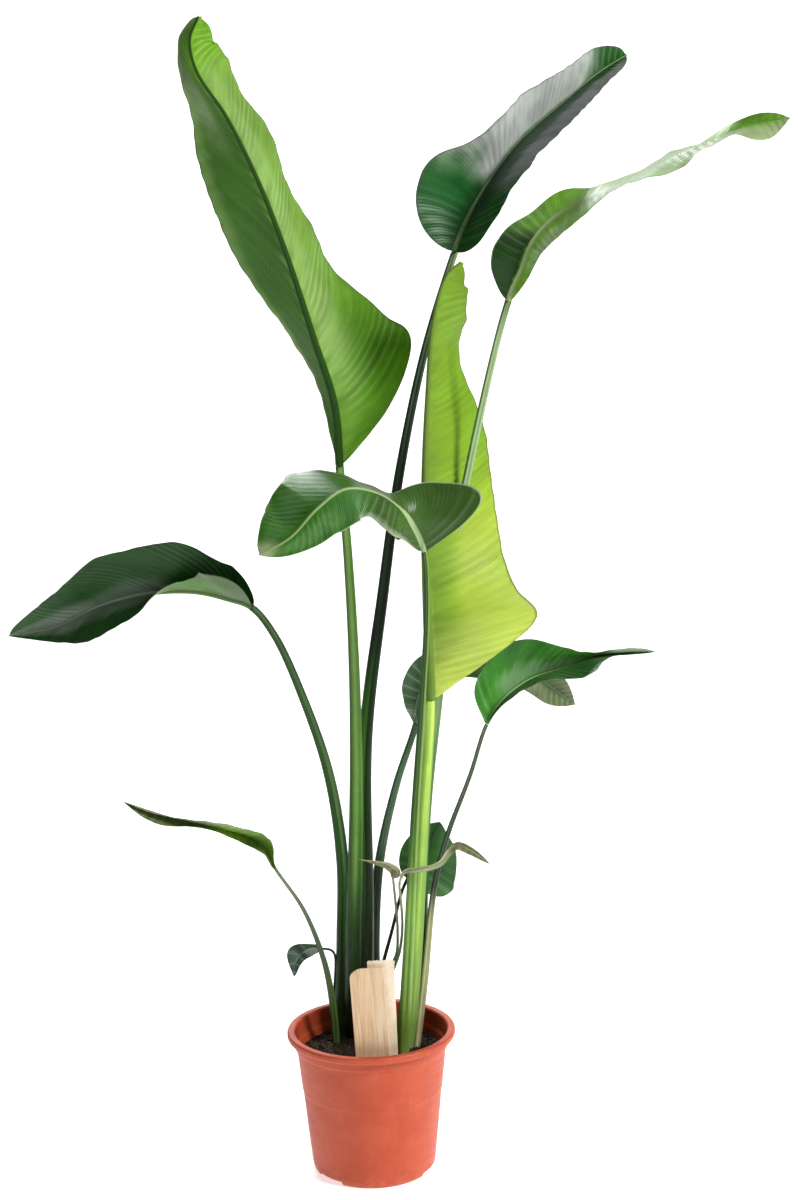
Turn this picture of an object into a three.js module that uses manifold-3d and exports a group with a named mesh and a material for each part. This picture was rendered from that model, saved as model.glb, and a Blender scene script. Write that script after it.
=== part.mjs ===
// Potted bird of paradise: a nursery pot with compost, two plant tags and thirteen leaves.
// Millimetres, +Z up. The origin is the centre of the pot's foot, on the surface that the pot stands on.
// The plant faces -Y, +X is to its right.
import * as THREE from "three";
import { mergeVertices } from "three/addons/utils/BufferGeometryUtils.js";
import initKernel from "manifold-3d";

const kernel = await initKernel();
kernel.setup();

// ---- driving dimensions -------------------------------------------------------------------------

const GAP = 0.3; // clearance between neighbouring pieces
const SLIVER = 0.1; // edges shorter than this are closed up

const POT = {
  height: 180,
  rimRadius: 105, // outside of the rolled rim
  collarRadius: 96, // wall just below the rim
  wallTopRadius: 93.5, // wall below the collar's step
  footRadius: 77.5, // wall at the top of the rounded foot
  ringRadius: 73, // outside of the ring that the pot stands on
  ringWidth: 4,
  roundHeight: 10, // height of the rounded foot
  wall: 2,
  rimHeight: 9,
  collarHeight: 13,
  footHeight: 5, // how far the floor is raised above the surface it stands on
  floor: 2,
  drains: 8,
  drainRadius: 5,
  drainCircle: 59.5,
  notches: 3, // wide gaps in the ring
  notchWidth: 44,
  notchHeight: 4,
  notchTurn: -19, // degrees from +X to the first of them
};

const SOIL = { top: 150, root: 24 }; // surface height, and how deep the stems and tags go in

const TAG = { width: 42, length: 132, thickness: 3, clip: 10, foot: [4, -78, 150], lean: 4, roll: 3 };
const CARD = { width: 33, length: 140, thickness: 1.2, clip: 3, foot: [17, -71, 150], lean: 4, roll: 1 };

const STEM = { sides: 9, rings: 12, taper: 1.4 };
const BLADE = {
  thickness: 1.2,
  rows: 16,
  columns: 4,
  tip: 0.02, // least width, as a share of the greatest
  start: 0.015, // where along the blade the halves begin and end
  end: 0.97,
  root: 0.35, // how far from the rib's centre the halves begin, as a share of its radius
  ribTip: 0.25, // radius of the rib at the tip, as a share of that at the base
  ribLeast: 0.95,
  ribSides: 7,
};

const COLOUR = {
  pot: 0xd8734f,
  soil: 0x3a2a20,
  tag: 0xdfbf93,
  card: 0xe9dcc3,
};

// One entry for each leaf. stem and rib are the points of one smooth curve, from the soil to the blade
// and from the blade's base to its tip. half is the width of the blade's left and right halves, seen from
// -Y with the tip up, and trimLeft and trimRight its share of that at even steps along the rib. left and
// right are the directions of those halves at such steps, in degrees from the plane that faces -Y,
// positive towards -Y. curl is the further bend of each half from rib to margin, sweep the slant of the
// veins, peak where along the blade it is widest, and ruffle the height, count and phase of its waves.
const LEAVES = [
  {
    name: "1",
    stem: [
      [-24, 56, 150], [-20, 42, 280], [-12, 36, 464], [-10, 20, 644], [-14, 0, 789],
      [-20, -10, 885],
    ],
    rib: [
      [-24, -30, 960], [-46, -50, 1041], [-71, -75, 1130], [-98, -100, 1210], [-130, -120, 1282],
      [-162, -135, 1335], [-167, -140, 1368], [-157, -140, 1392],
    ],
    radius: [13, 5],
    half: [115, 125],
    left: [-65, -75, -70, -60, -55, -55, -55, -65, -65],
    right: [-25, 0, -28, -60, -65, -65, -65, -50, -30],
    trimLeft: [
      0.38, 0.66, 0.84, 0.84, 0.72, 0.81, 1, 1.03, 1, 1.03, 1.09, 1.09, 0.97, 0.9, 1.08, 1.55,
      1.9,
    ],
    trimRight: [
      0.6, 0.81, 1.16, 0.94, 0.88, 0.84, 0.78, 0.72, 0.66, 0.72, 0.88, 0.88, 0.78, 1.05, 0.98,
      1.12, 1.6,
    ],
    curl: [0, -10],
    sweep: [0.45, 0.35, 0.3, 0.3, 0.6],
    peak: 0.36,
    ruffle: [3, 4, 0.1],
    colour: 0x7ba53a,
  },
  {
    name: "2",
    stem: [
      [-10, 52, 150], [-4, 52, 330], [1, 57, 535], [26, 65, 711], [52, 80, 871], [86, 90, 1017],
      [125, 100, 1135],
    ],
    rib: [
      [141, 120, 1172], [171, 150, 1222], [213, 185, 1273], [270, 228, 1321], [321, 255, 1362],
      [354, 262, 1382],
    ],
    radius: [13, 4.5],
    half: [100, 100],
    left: [20, 40, 70, 65, 65, 55, 30],
    right: [65, 70, 70, 70, 70, 65, 55],
    trimLeft: [0.72, 0.94, 1, 0.84, 1.09, 1, 0.88, 0.94, 1, 0.97, 0.97, 1.03, 1.22],
    trimRight: [0.91, 0.91, 0.88, 0.97, 0.81, 0.88, 0.94, 0.91, 0.84, 0.84, 0.88, 0.94, 0.97],
    curl: [0, 0],
    sweep: [-0.25, 0.05, 0.15, 0.3, 0.9],
    peak: 0.26,
    ruffle: [2, 3, 0.3],
    colour: 0x2f5c37,
  },
  {
    name: "3",
    stem: [
      [51, 34, 150], [64, 26, 296], [68, 22, 389], [76, 16, 480], [91, 4, 595], [112, -15, 770],
      [150, -35, 956], [181, -55, 1076],
    ],
    rib: [
      [195, -70, 1110], [207, -80, 1140], [230, -100, 1166], [268, -130, 1187],
      [327, -161, 1215], [383, -184, 1240], [431, -203, 1256], [474, -219, 1263],
    ],
    radius: [11, 4],
    half: [75, 75],
    left: [30, 38, 15, -50, -84, -88, -85, -40, 20],
    right: [50, 45, 42, 52, 80, 86, 68, 84, 55],
    trimLeft: [0.78, 1.03, 0.72, 0.35, 0.35, 0.35, 0.94, 1.09, 1, 0.53, 0.35, 0.44, 0.69],
    trimRight: [0.35, 0.35, 0.35, 0.35, 0.35, 0.35, 0.59, 0.91, 0.66, 0.35, 1.47, 1.56, 1.28],
    curl: [0, 0],
    sweep: [0.25, 0.15, 0.3, 0.4, 0.4],
    peak: 0.5,
    ruffle: [3, 3, 0.6],
    colour: 0x86b552,
  },
  {
    name: "4",
    stem: [[42, 18, 150], [57, 4, 291], [70, -12, 449], [82, -32, 603]],
    rib: [
      [80, -45, 703], [79, -60, 848], [85, -70, 965], [94, -80, 1057], [110, -85, 1107],
      [126, -85, 1121],
    ],
    radius: [14, 6],
    half: [120, 134],
    left: [-130, -130, -115, -105, -95, -120],
    right: [-15, -5, -40, -50, -62, -25],
    trimRight: [
      0.38, 0.91, 1.16, 0.88, 0.81, 0.88, 0.97, 1.06, 1.09, 1.06, 1.06, 1.09, 1.22, 1.16, 1,
      1.22, 1.62,
    ],
    curl: [0, -10],
    sweep: [0.1, 0.28, 0.26, 0.2, 0.5],
    peak: 0.28,
    ruffle: [3, 4, 0.4],
    colour: 0xa3c83c,
  },
  {
    name: "5",
    stem: [
      [39, -4, 150], [50, -18, 299], [60, -38, 456], [72, -72, 612], [79, -100, 724],
      [77, -112, 794],
    ],
    rib: [
      [65, -125, 826], [49, -142, 850], [24, -162, 869], [-9, -182, 876], [-40, -200, 857],
      [-71, -212, 826], [-104, -218, 809],
    ],
    radius: [8.5, 3.2],
    half: [62, 72],
    left: [5, 15, 62, 62, 35, 18, 10, 15, 25],
    right: [12, 5, -70, -88, -82, -55, -42, -40, -45],
    trimLeft: [0.35, 0.35, 0.5, 0.84, 1.03, 0.62, 0.75, 0.81, 0.81, 0.81, 0.72, 0.75, 0.84],
    trimRight: [0.35, 1.47, 0.81, 0.35, 0.35, 0.75, 1.25, 1.19, 1.22, 1.28, 1.38, 1.31, 1.28],
    curl: [0, 0],
    sweep: [0.1, 0.1, 0.3, 0.5, 0.8],
    peak: 0.25,
    ruffle: [2, 2, 0],
    colour: 0x4d8f38,
  },
  {
    name: "6",
    stem: [
      [-38, 57, 150], [-33, 54, 277], [-32, 56, 381], [-47, 65, 493], [-77, 80, 587],
      [-111, 105, 661], [-140, 125, 695],
    ],
    rib: [
      [-172, 145, 704], [-216, 165, 711], [-276, 180, 708], [-341, 190, 692], [-405, 200, 663],
      [-469, 210, 651],
    ],
    radius: [12, 4.5],
    half: [75, 75],
    left: [112, 114, 116, 116, 113, 72, 63, 60, 58, 56, 54, 52, 50],
    right: [10, 10, 20, 25, 35, 35, 30],
    trimLeft: [1.8, 1.8, 0.91, 0.59, 0.35, 0.69, 0.78, 0.94, 0.97, 0.78, 0.59, 0.5, 0.53],
    trimRight: [0.44, 0.72, 0.69, 0.94, 0.94, 0.94, 1.06, 1, 0.97, 1.03, 1.06, 1.03, 1.09],
    curl: [0, 0],
    sweep: [-0.2, 0.15, 0.3, 0.35, 0.65],
    peak: 0.3,
    ruffle: [2, 3, 0.2],
    colour: 0x31633a,
  },
  {
    name: "7",
    stem: [[-46, 34, 150], [-48, 24, 201], [-57, 10, 265], [-79, -10, 337], [-110, -35, 397]],
    rib: [[-125, -50, 433], [-170, -80, 462], [-222, -105, 483], [-278, -130, 511]],
    radius: [6, 2],
    half: [32, 32],
    left: [80, 85, 80, 75],
    right: [70, 60, 70, 75],
    trimLeft: [0.35, 0.69, 0.78, 0.47, 0.35, 0.56, 1.12, 1.31, 1.31],
    trimRight: [0.35, 0.53, 1.22, 1.8, 1.62, 1.28, 1.09, 1.16, 1.25],
    curl: [0, 0],
    sweep: [-0.1, 0.1, 0.3, 0.4, 0.6],
    peak: 0.3,
    ruffle: [2, 2, 0.2],
    colour: 0x6f8c4a,
  },
  {
    name: "8",
    stem: [[-50, 56, 150], [-46, 54, 215], [-46, 48, 262], [-62, 32, 273]],
    rib: [[-75, 26, 275], [-86, 17, 271], [-93, 10, 262], [-95, 6, 246]],
    radius: [2.5, 1.5],
    half: [14, 20],
    left: [35, 20, 30],
    right: [10, 0, 20],
    trimLeft: [0.53, 0.69, 0.66, 0.78, 0.91],
    trimRight: [0.35, 0.35, 0.88, 0.53, 0.35],
    curl: [0, 0],
    sweep: [-0.3, 0.1, 0.3, 0.4, 0.6],
    peak: 0.3,
    ruffle: [0, 1, 0],
    colour: 0x2e4d2c,
  },
  {
    name: "9",
    stem: [
      [56, 14, 150], [68, 16, 234], [79, 14, 331], [86, 16, 369], [101, 26, 419], [131, 42, 491],
      [153, 50, 553],
    ],
    rib: [[174, 60, 581], [209, 75, 604], [251, 90, 615], [297, 100, 627], [372, 120, 627]],
    radius: [6, 2.5],
    half: [58, 58],
    left: [30, 10, 50, 70, 60],
    right: [90, 88, 82, 85, 85],
    trimLeft: [0.35, 0.94, 0.94, 1, 0.97, 0.91, 0.94, 0.72, 0.47, 0.81, 1.09, 1.09, 1.06],
    trimRight: [0.35, 0.35, 0.62, 0.75, 0.62, 0.62, 0.97, 1.09, 0.69, 0.35, 0.35, 0.35, 0.44],
    curl: [0, 0],
    sweep: [-0.1, 0.1, 0.1, 0.2, 0.3],
    peak: 0.3,
    ruffle: [2, 2, 0.5],
    colour: 0x4f9a3e,
  },
  {
    name: "10",
    stem: [[4, 58, 150], [5, 66, 271], [15, 80, 373], [38, 95, 466], [65, 115, 541]],
    rib: [
      [69, 128, 564], [77, 133, 585], [92, 138, 604], [119, 145, 616], [154, 152, 619],
      [192, 160, 608], [231, 168, 583], [256, 176, 563], [275, 185, 547],
    ],
    radius: [10.5, 4.2],
    half: [40, 40],
    left: [20, 30, 50, 50, 45, 40, 40],
    right: [60, 65, 60, 50, 40, 30, 30],
    trimLeft: [0.47, 0.72, 0.97, 1.09, 1.19, 1.12, 0.91, 1, 1.22, 1.38, 1.44, 1.31, 1.12],
    trimRight: [0.35, 0.53, 0.81, 1, 0.88, 0.94, 1, 0.97, 0.94, 1.03, 1.31, 1.38, 1.34],
    curl: [0, 0],
    sweep: [-0.1, 0.1, 0.2, 0.3, 0.5],
    peak: 0.3,
    ruffle: [0, 2, 0],
    colour: 0x456b4c,
  },
  {
    name: "11",
    stem: [[-8, 32, 150], [7, 29, 214], [16, 28, 251], [29, 30, 296], [42, 36, 343], [50, 40, 360]],
    rib: [[58, 42, 376], [77, 44, 405], [92, 42, 431]],
    radius: [3, 2],
    half: [30, 45],
    left: [-20, -20, -20],
    right: [0, 10, 0],
    trimLeft: [0.35, 0.66, 0.84, 0.84, 0.78, 0.69, 0.59],
    trimRight: [0.69, 1.41, 1.22, 1, 0.81, 0.59, 0.5],
    curl: [0, 0],
    sweep: [-0.6, -0.1, 0.2, 0.4, 0.6],
    peak: 0.4,
    ruffle: [1, 2, 0],
    colour: 0x46813f,
  },
  {
    name: "12",
    stem: [
      [6, 20, 150], [10, 22, 207], [20, 18, 245], [33, 6, 270], [36, -6, 308], [34, -14, 349],
      [32, -22, 379],
    ],
    rib: [[32, -30, 392], [24, -38, 401], [10, -47, 408], [-8, -56, 414]],
    radius: [2.5, 1.5],
    half: [12, 10],
    left: [50, 60, 60],
    right: [50, 60, 70],
    trimLeft: [0.35, 0.62, 0.56, 0.44, 0.44],
    trimRight: [0.5, 1.44, 1.8, 1.8, 1.69],
    curl: [0, 0],
    sweep: [-0.3, 0.1, 0.3, 0.4, 0.6],
    peak: 0.3,
    ruffle: [0, 1, 0],
    colour: 0x7c8052,
  },
  {
    name: "13",
    stem: [
      [14, 10, 150], [17, 11, 211], [27, 6, 245], [38, -4, 280], [42, -14, 316], [41, -24, 351],
      [40, -33, 377],
    ],
    rib: [
      [47, -44, 395], [60, -51, 399], [77, -53, 402], [91, -52, 408], [100, -50, 419],
      [110, -48, 427], [127, -50, 420], [150, -52, 403],
    ],
    radius: [2.5, 1.5],
    half: [6, 7],
    left: [55, 55, 55, 50, 20, 10],
    right: [60, 60, 60, 55, 20, 10],
    curl: [0, 0],
    sweep: [0, 0.1, 0.2, 0.3, 0.5],
    peak: 0.6,
    ruffle: [0, 1, 0],
    colour: 0x6f7350,
  },
];

// ---- closed geometry and solids -----------------------------------------------------------------

const vector = (p) => new THREE.Vector3(...p);

function closedGeometry(points, triangles) {
  const geometry = new THREE.BufferGeometry();
  const numbers = points.flatMap((p) => [p.x, p.y, p.z]);
  geometry.setAttribute("position", new THREE.Float32BufferAttribute(numbers, 3));
  geometry.setIndex(triangles);
  return geometry;
}

// Joins a row of rings into a closed skin. Each ring has the same number of points. In a thin sheet the
// second half of each ring lies behind the first, and its quads are split along the same diagonals.
function skin(rings, sheet = false) {
  const sides = rings[0].length;
  const points = rings.flat();
  const triangles = [];
  for (let i = 0; i + 1 < rings.length; i++) {
    for (let j = 0; j < sides; j++) {
      const a = i * sides + j;
      const b = i * sides + ((j + 1) % sides);
      const [c, d] = [b + sides, a + sides];
      if (sheet && 2 * j >= sides) {
        triangles.push(a, b, d, b, c, d);
      } else {
        triangles.push(a, b, c, a, c, d);
      }
    }
  }
  const last = (rings.length - 1) * sides;
  const middle = (ring) => ring.reduce((sum, p) => sum.add(p), new THREE.Vector3()).divideScalar(sides);
  points.push(middle(rings[0]), middle(rings.at(-1)));
  for (let j = 0; j < sides; j++) {
    const next = (j + 1) % sides;
    triangles.push(last + sides, next, j, last + sides + 1, last + j, last + next);
  }
  return closedGeometry(points, triangles);
}

function solid(geometry) {
  const bare = geometry.index ? geometry.toNonIndexed() : geometry.clone();
  bare.deleteAttribute("normal");
  bare.deleteAttribute("uv");
  const merged = mergeVertices(bare, 1e-4);
  return new kernel.Manifold(
    new kernel.Mesh({
      numProp: 3,
      vertProperties: merged.attributes.position.array,
      triVerts: new Uint32Array(merged.index.array),
    }),
  );
}

// A cut can leave a loose sliver beside the piece: the piece is the largest part.
function largest(body) {
  return body.decompose().reduce((best, part) => (part.volume() > best.volume() ? part : best));
}

// Joins the ends of every edge that is shorter than SLIVER, and drops the triangles that this flattens.
function withoutShortEdges(geometry) {
  const position = geometry.attributes.position;
  const corners = [...geometry.index.array];
  const pointAt = (i) => new THREE.Vector3().fromBufferAttribute(position, i);
  const points = Array.from({ length: position.count }, (_, i) => pointAt(i));
  const joined = points.map((_, i) => i);
  const end = (i) => (joined[i] === i ? i : end(joined[i]));
  corners.forEach((a, i) => {
    const b = corners[i % 3 === 2 ? i - 2 : i + 1];
    if (points[a].distanceTo(points[b]) < SLIVER) {
      joined[end(a)] = end(b);
    }
  });
  const triangles = [];
  for (let i = 0; i < corners.length; i += 3) {
    const [a, b, c] = corners.slice(i, i + 3).map(end);
    if (a !== b && b !== c && c !== a) {
      triangles.push(a, b, c);
    }
  }
  return closedGeometry(points, triangles);
}

function geometryOf(body) {
  const rough = largest(body).asOriginal().simplify(SLIVER).getMesh();
  const geometry = new THREE.BufferGeometry();
  geometry.setAttribute("position", new THREE.BufferAttribute(new Float32Array(rough.vertProperties), 3));
  geometry.setIndex(new THREE.BufferAttribute(new Uint32Array(rough.triVerts), 1));
  const tidy = withoutShortEdges(geometry).toNonIndexed();
  const merged = mergeVertices(tidy, 1e-5);
  merged.computeVertexNormals();
  return merged;
}

const plant = new THREE.Group();

function addPiece(name, body, colour, roughness) {
  const material = new THREE.MeshStandardMaterial({ color: colour, roughness, metalness: 0 });
  const mesh = new THREE.Mesh(geometryOf(body), material);
  mesh.name = name;
  plant.add(mesh);
}

// ---- the curve and the surface of a leaf --------------------------------------------------------

const TOWARDS = new THREE.Vector3(0, -1, 0); // from the plant to where it is seen from

class Spine {
  constructor(leaf) {
    const [foot, next] = leaf.stem.map(vector);
    const root = foot.clone().lerp(next, -SOIL.root / (next.z - foot.z));
    const points = [root, ...leaf.stem.map(vector), ...leaf.rib.map(vector)];
    this.curve = new THREE.CatmullRomCurve3(points, false, "centripetal");
    this.curve.arcLengthDivisions = 30 * points.length;
    this.lengths = this.curve.getLengths();
    this.total = this.lengths.at(-1);
    const blade = leaf.stem.length / (points.length - 1);
    this.base = this.lengths[Math.round(blade * this.curve.arcLengthDivisions)];
    this.blade = this.total - this.base;
  }

  // The point, the tangent and the two directions across it, at a distance from the root.
  at(distance) {
    const inside = THREE.MathUtils.clamp(distance, 0, this.total);
    const point = this.curve.getPointAt(inside / this.total);
    const tangent = this.curve.getTangentAt(inside / this.total);
    point.addScaledVector(tangent, distance - inside);
    const front = TOWARDS.clone().addScaledVector(tangent, -TOWARDS.dot(tangent)).normalize();
    const right = tangent.clone().cross(front);
    return { point, front, right };
  }
}

// A smooth value from a list that is spread evenly over 0 to 1.
function spread(list, x) {
  const last = list.length - 1;
  const place = THREE.MathUtils.clamp(x, 0, 1) * last;
  const i = Math.min(Math.floor(place), last - 1);
  const f = place - i;
  const [a, b, c, d] = [list[Math.max(i - 1, 0)], list[i], list[i + 1], list[Math.min(i + 2, last)]];
  const start = (c - a) / 2;
  const end = (d - b) / 2;
  return b + f * (start + f * (3 * (c - b) - 2 * start - end + f * (start + end - 2 * (c - b))));
}

// Width of half a blade, as a share of its greatest: a round base, then a long taper to the tip.
function outline(along, peak) {
  const rise = Math.sqrt(1 - (1 - Math.min(along / peak, 1)) ** 2.2);
  const fall = Math.max(0, 1 - Math.max((along - peak) / (1 - peak), 0) ** 1.9) ** 0.9;
  return Math.max(rise * fall, BLADE.tip);
}

function halfWidth(leaf, side, along) {
  const [half, trim] = side > 0 ? [leaf.half[1], leaf.trimRight] : [leaf.half[0], leaf.trimLeft];
  return half * outline(along, leaf.peak) * (trim ? spread(trim, along) : 1);
}

// A point of the blade and the normal there. along is the vein, across runs from the rib to the margin.
function bladePoint(leaf, spine, side, along, across) {
  const half = leaf.half[side > 0 ? 1 : 0];
  const width = halfWidth(leaf, side, along);
  const slant = width * spread(leaf.sweep, along) * across ** 1.3;
  const distance = spine.base + along * spine.blade + slant;
  const u = (distance - spine.base) / spine.blade;
  const { point, front, right } = spine.at(distance);
  const start = THREE.MathUtils.degToRad(spread(side > 0 ? leaf.right : leaf.left, u));
  const curl = THREE.MathUtils.degToRad(leaf.curl[side > 0 ? 1 : 0]) || 1e-3;
  const reach = (width * across) / half;
  const end = start + curl * reach;
  const normal = right.clone().multiplyScalar(-side * Math.sin(end)).addScaledVector(front, Math.cos(end));
  const [amplitude, waves, phase] = leaf.ruffle;
  const wave = Math.sin(2 * Math.PI * (waves * u + phase + 0.23 * side));
  const lift = amplitude * wave * across ** 1.6 * Math.min(1, (1.6 * width) / half);
  point.addScaledVector(right, (side * half * (Math.sin(end) - Math.sin(start))) / curl);
  point.addScaledVector(front, (half * (Math.cos(start) - Math.cos(end))) / curl);
  point.addScaledVector(normal, lift);
  return { point, normal };
}

function ribRadius(leaf, along) {
  return Math.max(leaf.radius[1] * THREE.MathUtils.lerp(1, BLADE.ribTip, along), BLADE.ribLeast);
}

// One half of a blade, from inside the rib to the margin, as rings round each pair of veins.
function halfSolid(leaf, side) {
  const rings = [];
  for (let i = 0; i <= leaf.rows; i++) {
    const along = THREE.MathUtils.lerp(BLADE.start, BLADE.end, i / leaf.rows);
    const width = halfWidth(leaf, side, along);
    const inner = Math.min(0.4, (BLADE.root * ribRadius(leaf, along)) / width);
    const [over, under] = [[], []];
    for (let j = 0; j <= BLADE.columns; j++) {
      const across = THREE.MathUtils.lerp(inner, 1, j / BLADE.columns);
      const { point, normal } = bladePoint(leaf, leaf.spine, side, along, across);
      over.push(point.clone().addScaledVector(normal, BLADE.thickness / 2));
      under.unshift(point.clone().addScaledVector(normal, -BLADE.thickness / 2));
    }
    rings.push(side > 0 ? [...over, ...under] : [...over, ...under].reverse());
  }
  return solid(skin(rings, true));
}

function tube(spine, from, to, rings, sides, radiusAt) {
  const loops = [];
  for (let i = 0; i <= rings; i++) {
    const distance = THREE.MathUtils.lerp(from, to, i / rings);
    const { point, front, right } = spine.at(distance);
    const loop = [];
    for (let j = 0; j < sides; j++) {
      const angle = (2 * Math.PI * j) / sides;
      const out = right.clone().multiplyScalar(Math.cos(angle)).addScaledVector(front, -Math.sin(angle));
      loop.push(point.clone().addScaledVector(out, radiusAt(distance)));
    }
    loops.push(loop);
  }
  return skin(loops);
}

// The stem is widest at the soil, where it clasps the ones inside it.
function stemSolid(leaf, extra = 0) {
  const [foot, neck] = leaf.radius;
  const radiusAt = (d) => neck + (foot - neck) * Math.max(1 - d / leaf.spine.base, 0) ** STEM.taper + extra;
  return solid(tube(leaf.spine, -extra, leaf.spine.base + extra / 2, STEM.rings, STEM.sides, radiusAt));
}

// The midrib, from the end of the stem to the tip of the blade.
function ribSolid(leaf) {
  const { base, total, blade } = leaf.spine;
  const radiusAt = (d) => ribRadius(leaf, (d - base) / blade);
  return solid(tube(leaf.spine, base + GAP, total, leaf.rows, BLADE.ribSides, radiusAt));
}

// ---- pot, compost and tags ----------------------------------------------------------------------

function turned(profile, segments) {
  const points = profile.map(([r, z]) => new THREE.Vector2(r, z));
  return solid(new THREE.LatheGeometry(points, segments).rotateX(Math.PI / 2));
}

function potSolid() {
  const { height, rimRadius, collarRadius, wallTopRadius, wall, footHeight, floor } = POT;
  const { footRadius, ringRadius, roundHeight } = POT;
  const rimFoot = height - POT.rimHeight;
  const step = rimFoot - POT.collarHeight;
  const ringInside = ringRadius - POT.ringWidth;
  const profile = [
    [ringInside, 0],
    [ringRadius, 0],
    [footRadius - 1, 0.4 * roundHeight],
    [footRadius, roundHeight],
    [wallTopRadius, step],
    [collarRadius, step + 2],
    [collarRadius + 1, rimFoot],
    [rimRadius - 1.5, rimFoot],
    [rimRadius, rimFoot + 2],
    [rimRadius, height - 2],
    [rimRadius - 1.5, height],
    [collarRadius + 1, height],
    [collarRadius - 1, height - 2],
    [collarRadius - wall, step + 2],
    [wallTopRadius - wall, step - 2],
    [footRadius - wall, roundHeight],
    [footRadius - 2 * wall, footHeight + floor],
    [0, footHeight + floor],
    [0, footHeight],
    [ringInside, footHeight],
    [ringInside, 0],
  ];
  const cuts = [];
  for (let i = 0; i < POT.drains; i++) {
    const angle = (2 * Math.PI * i) / POT.drains;
    const hole = new THREE.CylinderGeometry(POT.drainRadius, POT.drainRadius, 3 * footHeight, 16);
    hole.rotateX(Math.PI / 2).translate(POT.drainCircle, 0, 1.5 * footHeight);
    cuts.push(solid(hole.rotateZ(angle)));
  }
  for (let i = 0; i < POT.notches; i++) {
    const angle = THREE.MathUtils.degToRad(POT.notchTurn + (360 * i) / POT.notches);
    const notch = new THREE.BoxGeometry(14, POT.notchWidth, 2 * POT.notchHeight);
    cuts.push(solid(notch.translate(ringRadius - 2, 0, 0).rotateZ(angle)));
  }
  return kernel.Manifold.difference([turned(profile, 56), ...cuts]);
}

function soilSolid(cuts) {
  const inside = POT.wall + 2 * GAP;
  const bottom = POT.footHeight + POT.floor + GAP;
  const step = POT.height - POT.rimHeight - POT.collarHeight;
  const slope = (POT.wallTopRadius - POT.footRadius) / (step - POT.roundHeight);
  const radiusAt = (z) => POT.footRadius + slope * (z - POT.roundHeight) - inside;
  const profile = [
    [0, bottom],
    [POT.footRadius - 2 * POT.wall - 1, bottom],
    [radiusAt(POT.roundHeight) - 1, POT.roundHeight + 1],
    [radiusAt(SOIL.top) - 1, SOIL.top],
    [0, SOIL.top],
  ];
  return kernel.Manifold.difference([turned(profile, 48), ...cuts]);
}

// A flat tag pushed into the compost, its upper left corner clipped.
function tagSolid(tag, extra = 0) {
  const half = tag.width / 2 + extra;
  const outlineOfTag = new THREE.Shape();
  outlineOfTag.moveTo(-half, -SOIL.root - extra);
  outlineOfTag.lineTo(half, -SOIL.root - extra);
  outlineOfTag.lineTo(half, tag.length);
  outlineOfTag.lineTo(-half + tag.clip, tag.length);
  outlineOfTag.lineTo(-half, tag.length - 0.7 * tag.clip);
  outlineOfTag.closePath();
  const depth = tag.thickness + 2 * extra;
  const geometry = new THREE.ExtrudeGeometry(outlineOfTag, { depth, bevelEnabled: false, steps: 1 });
  geometry.translate(0, 0, -depth / 2);
  geometry.rotateX(Math.PI / 2);
  geometry.rotateX(THREE.MathUtils.degToRad(-tag.lean));
  geometry.rotateY(THREE.MathUtils.degToRad(-tag.roll));
  geometry.translate(tag.foot[0], tag.foot[1], tag.foot[2]);
  return solid(geometry);
}

// ---- assembly -----------------------------------------------------------------------------------

for (const leaf of LEAVES) {
  leaf.spine = new Spine(leaf);
  leaf.rows = leaf.spine.blade > 150 ? BLADE.rows : BLADE.rows / 2;
  leaf.socket = stemSolid(leaf, GAP);
}

const tags = [TAG, CARD];
const sockets = [...LEAVES.map((leaf) => leaf.socket), ...tags.map((tag) => tagSolid(tag, GAP))];

addPiece("pot", potSolid(), COLOUR.pot, 0.45);
addPiece("soil", soilSolid(sockets), COLOUR.soil, 0.95);
addPiece("tag_front", tagSolid(TAG), COLOUR.tag, 0.7);
addPiece("tag_back", tagSolid(CARD), COLOUR.card, 0.7);

// Where stems clasp one another, each gives way to the ones listed before it.
LEAVES.forEach((leaf, i) => {
  const stem = kernel.Manifold.difference([
    stemSolid(leaf),
    ...LEAVES.slice(0, i).map((other) => other.socket),
    ...tags.map((tag) => tagSolid(tag, GAP)),
  ]);
  const blade = kernel.Manifold.union([ribSolid(leaf), halfSolid(leaf, -1), halfSolid(leaf, 1)]);
  const met = LEAVES.filter((other) => blade.intersect(other.socket).volume() > 0);
  const cleared = kernel.Manifold.difference([blade, ...met.map((other) => other.socket)]);
  addPiece(`stem_${leaf.name}`, stem, leaf.colour, 0.5);
  addPiece(`leaf_${leaf.name}`, cleared, leaf.colour, 0.45);
});

export default plant;
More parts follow.
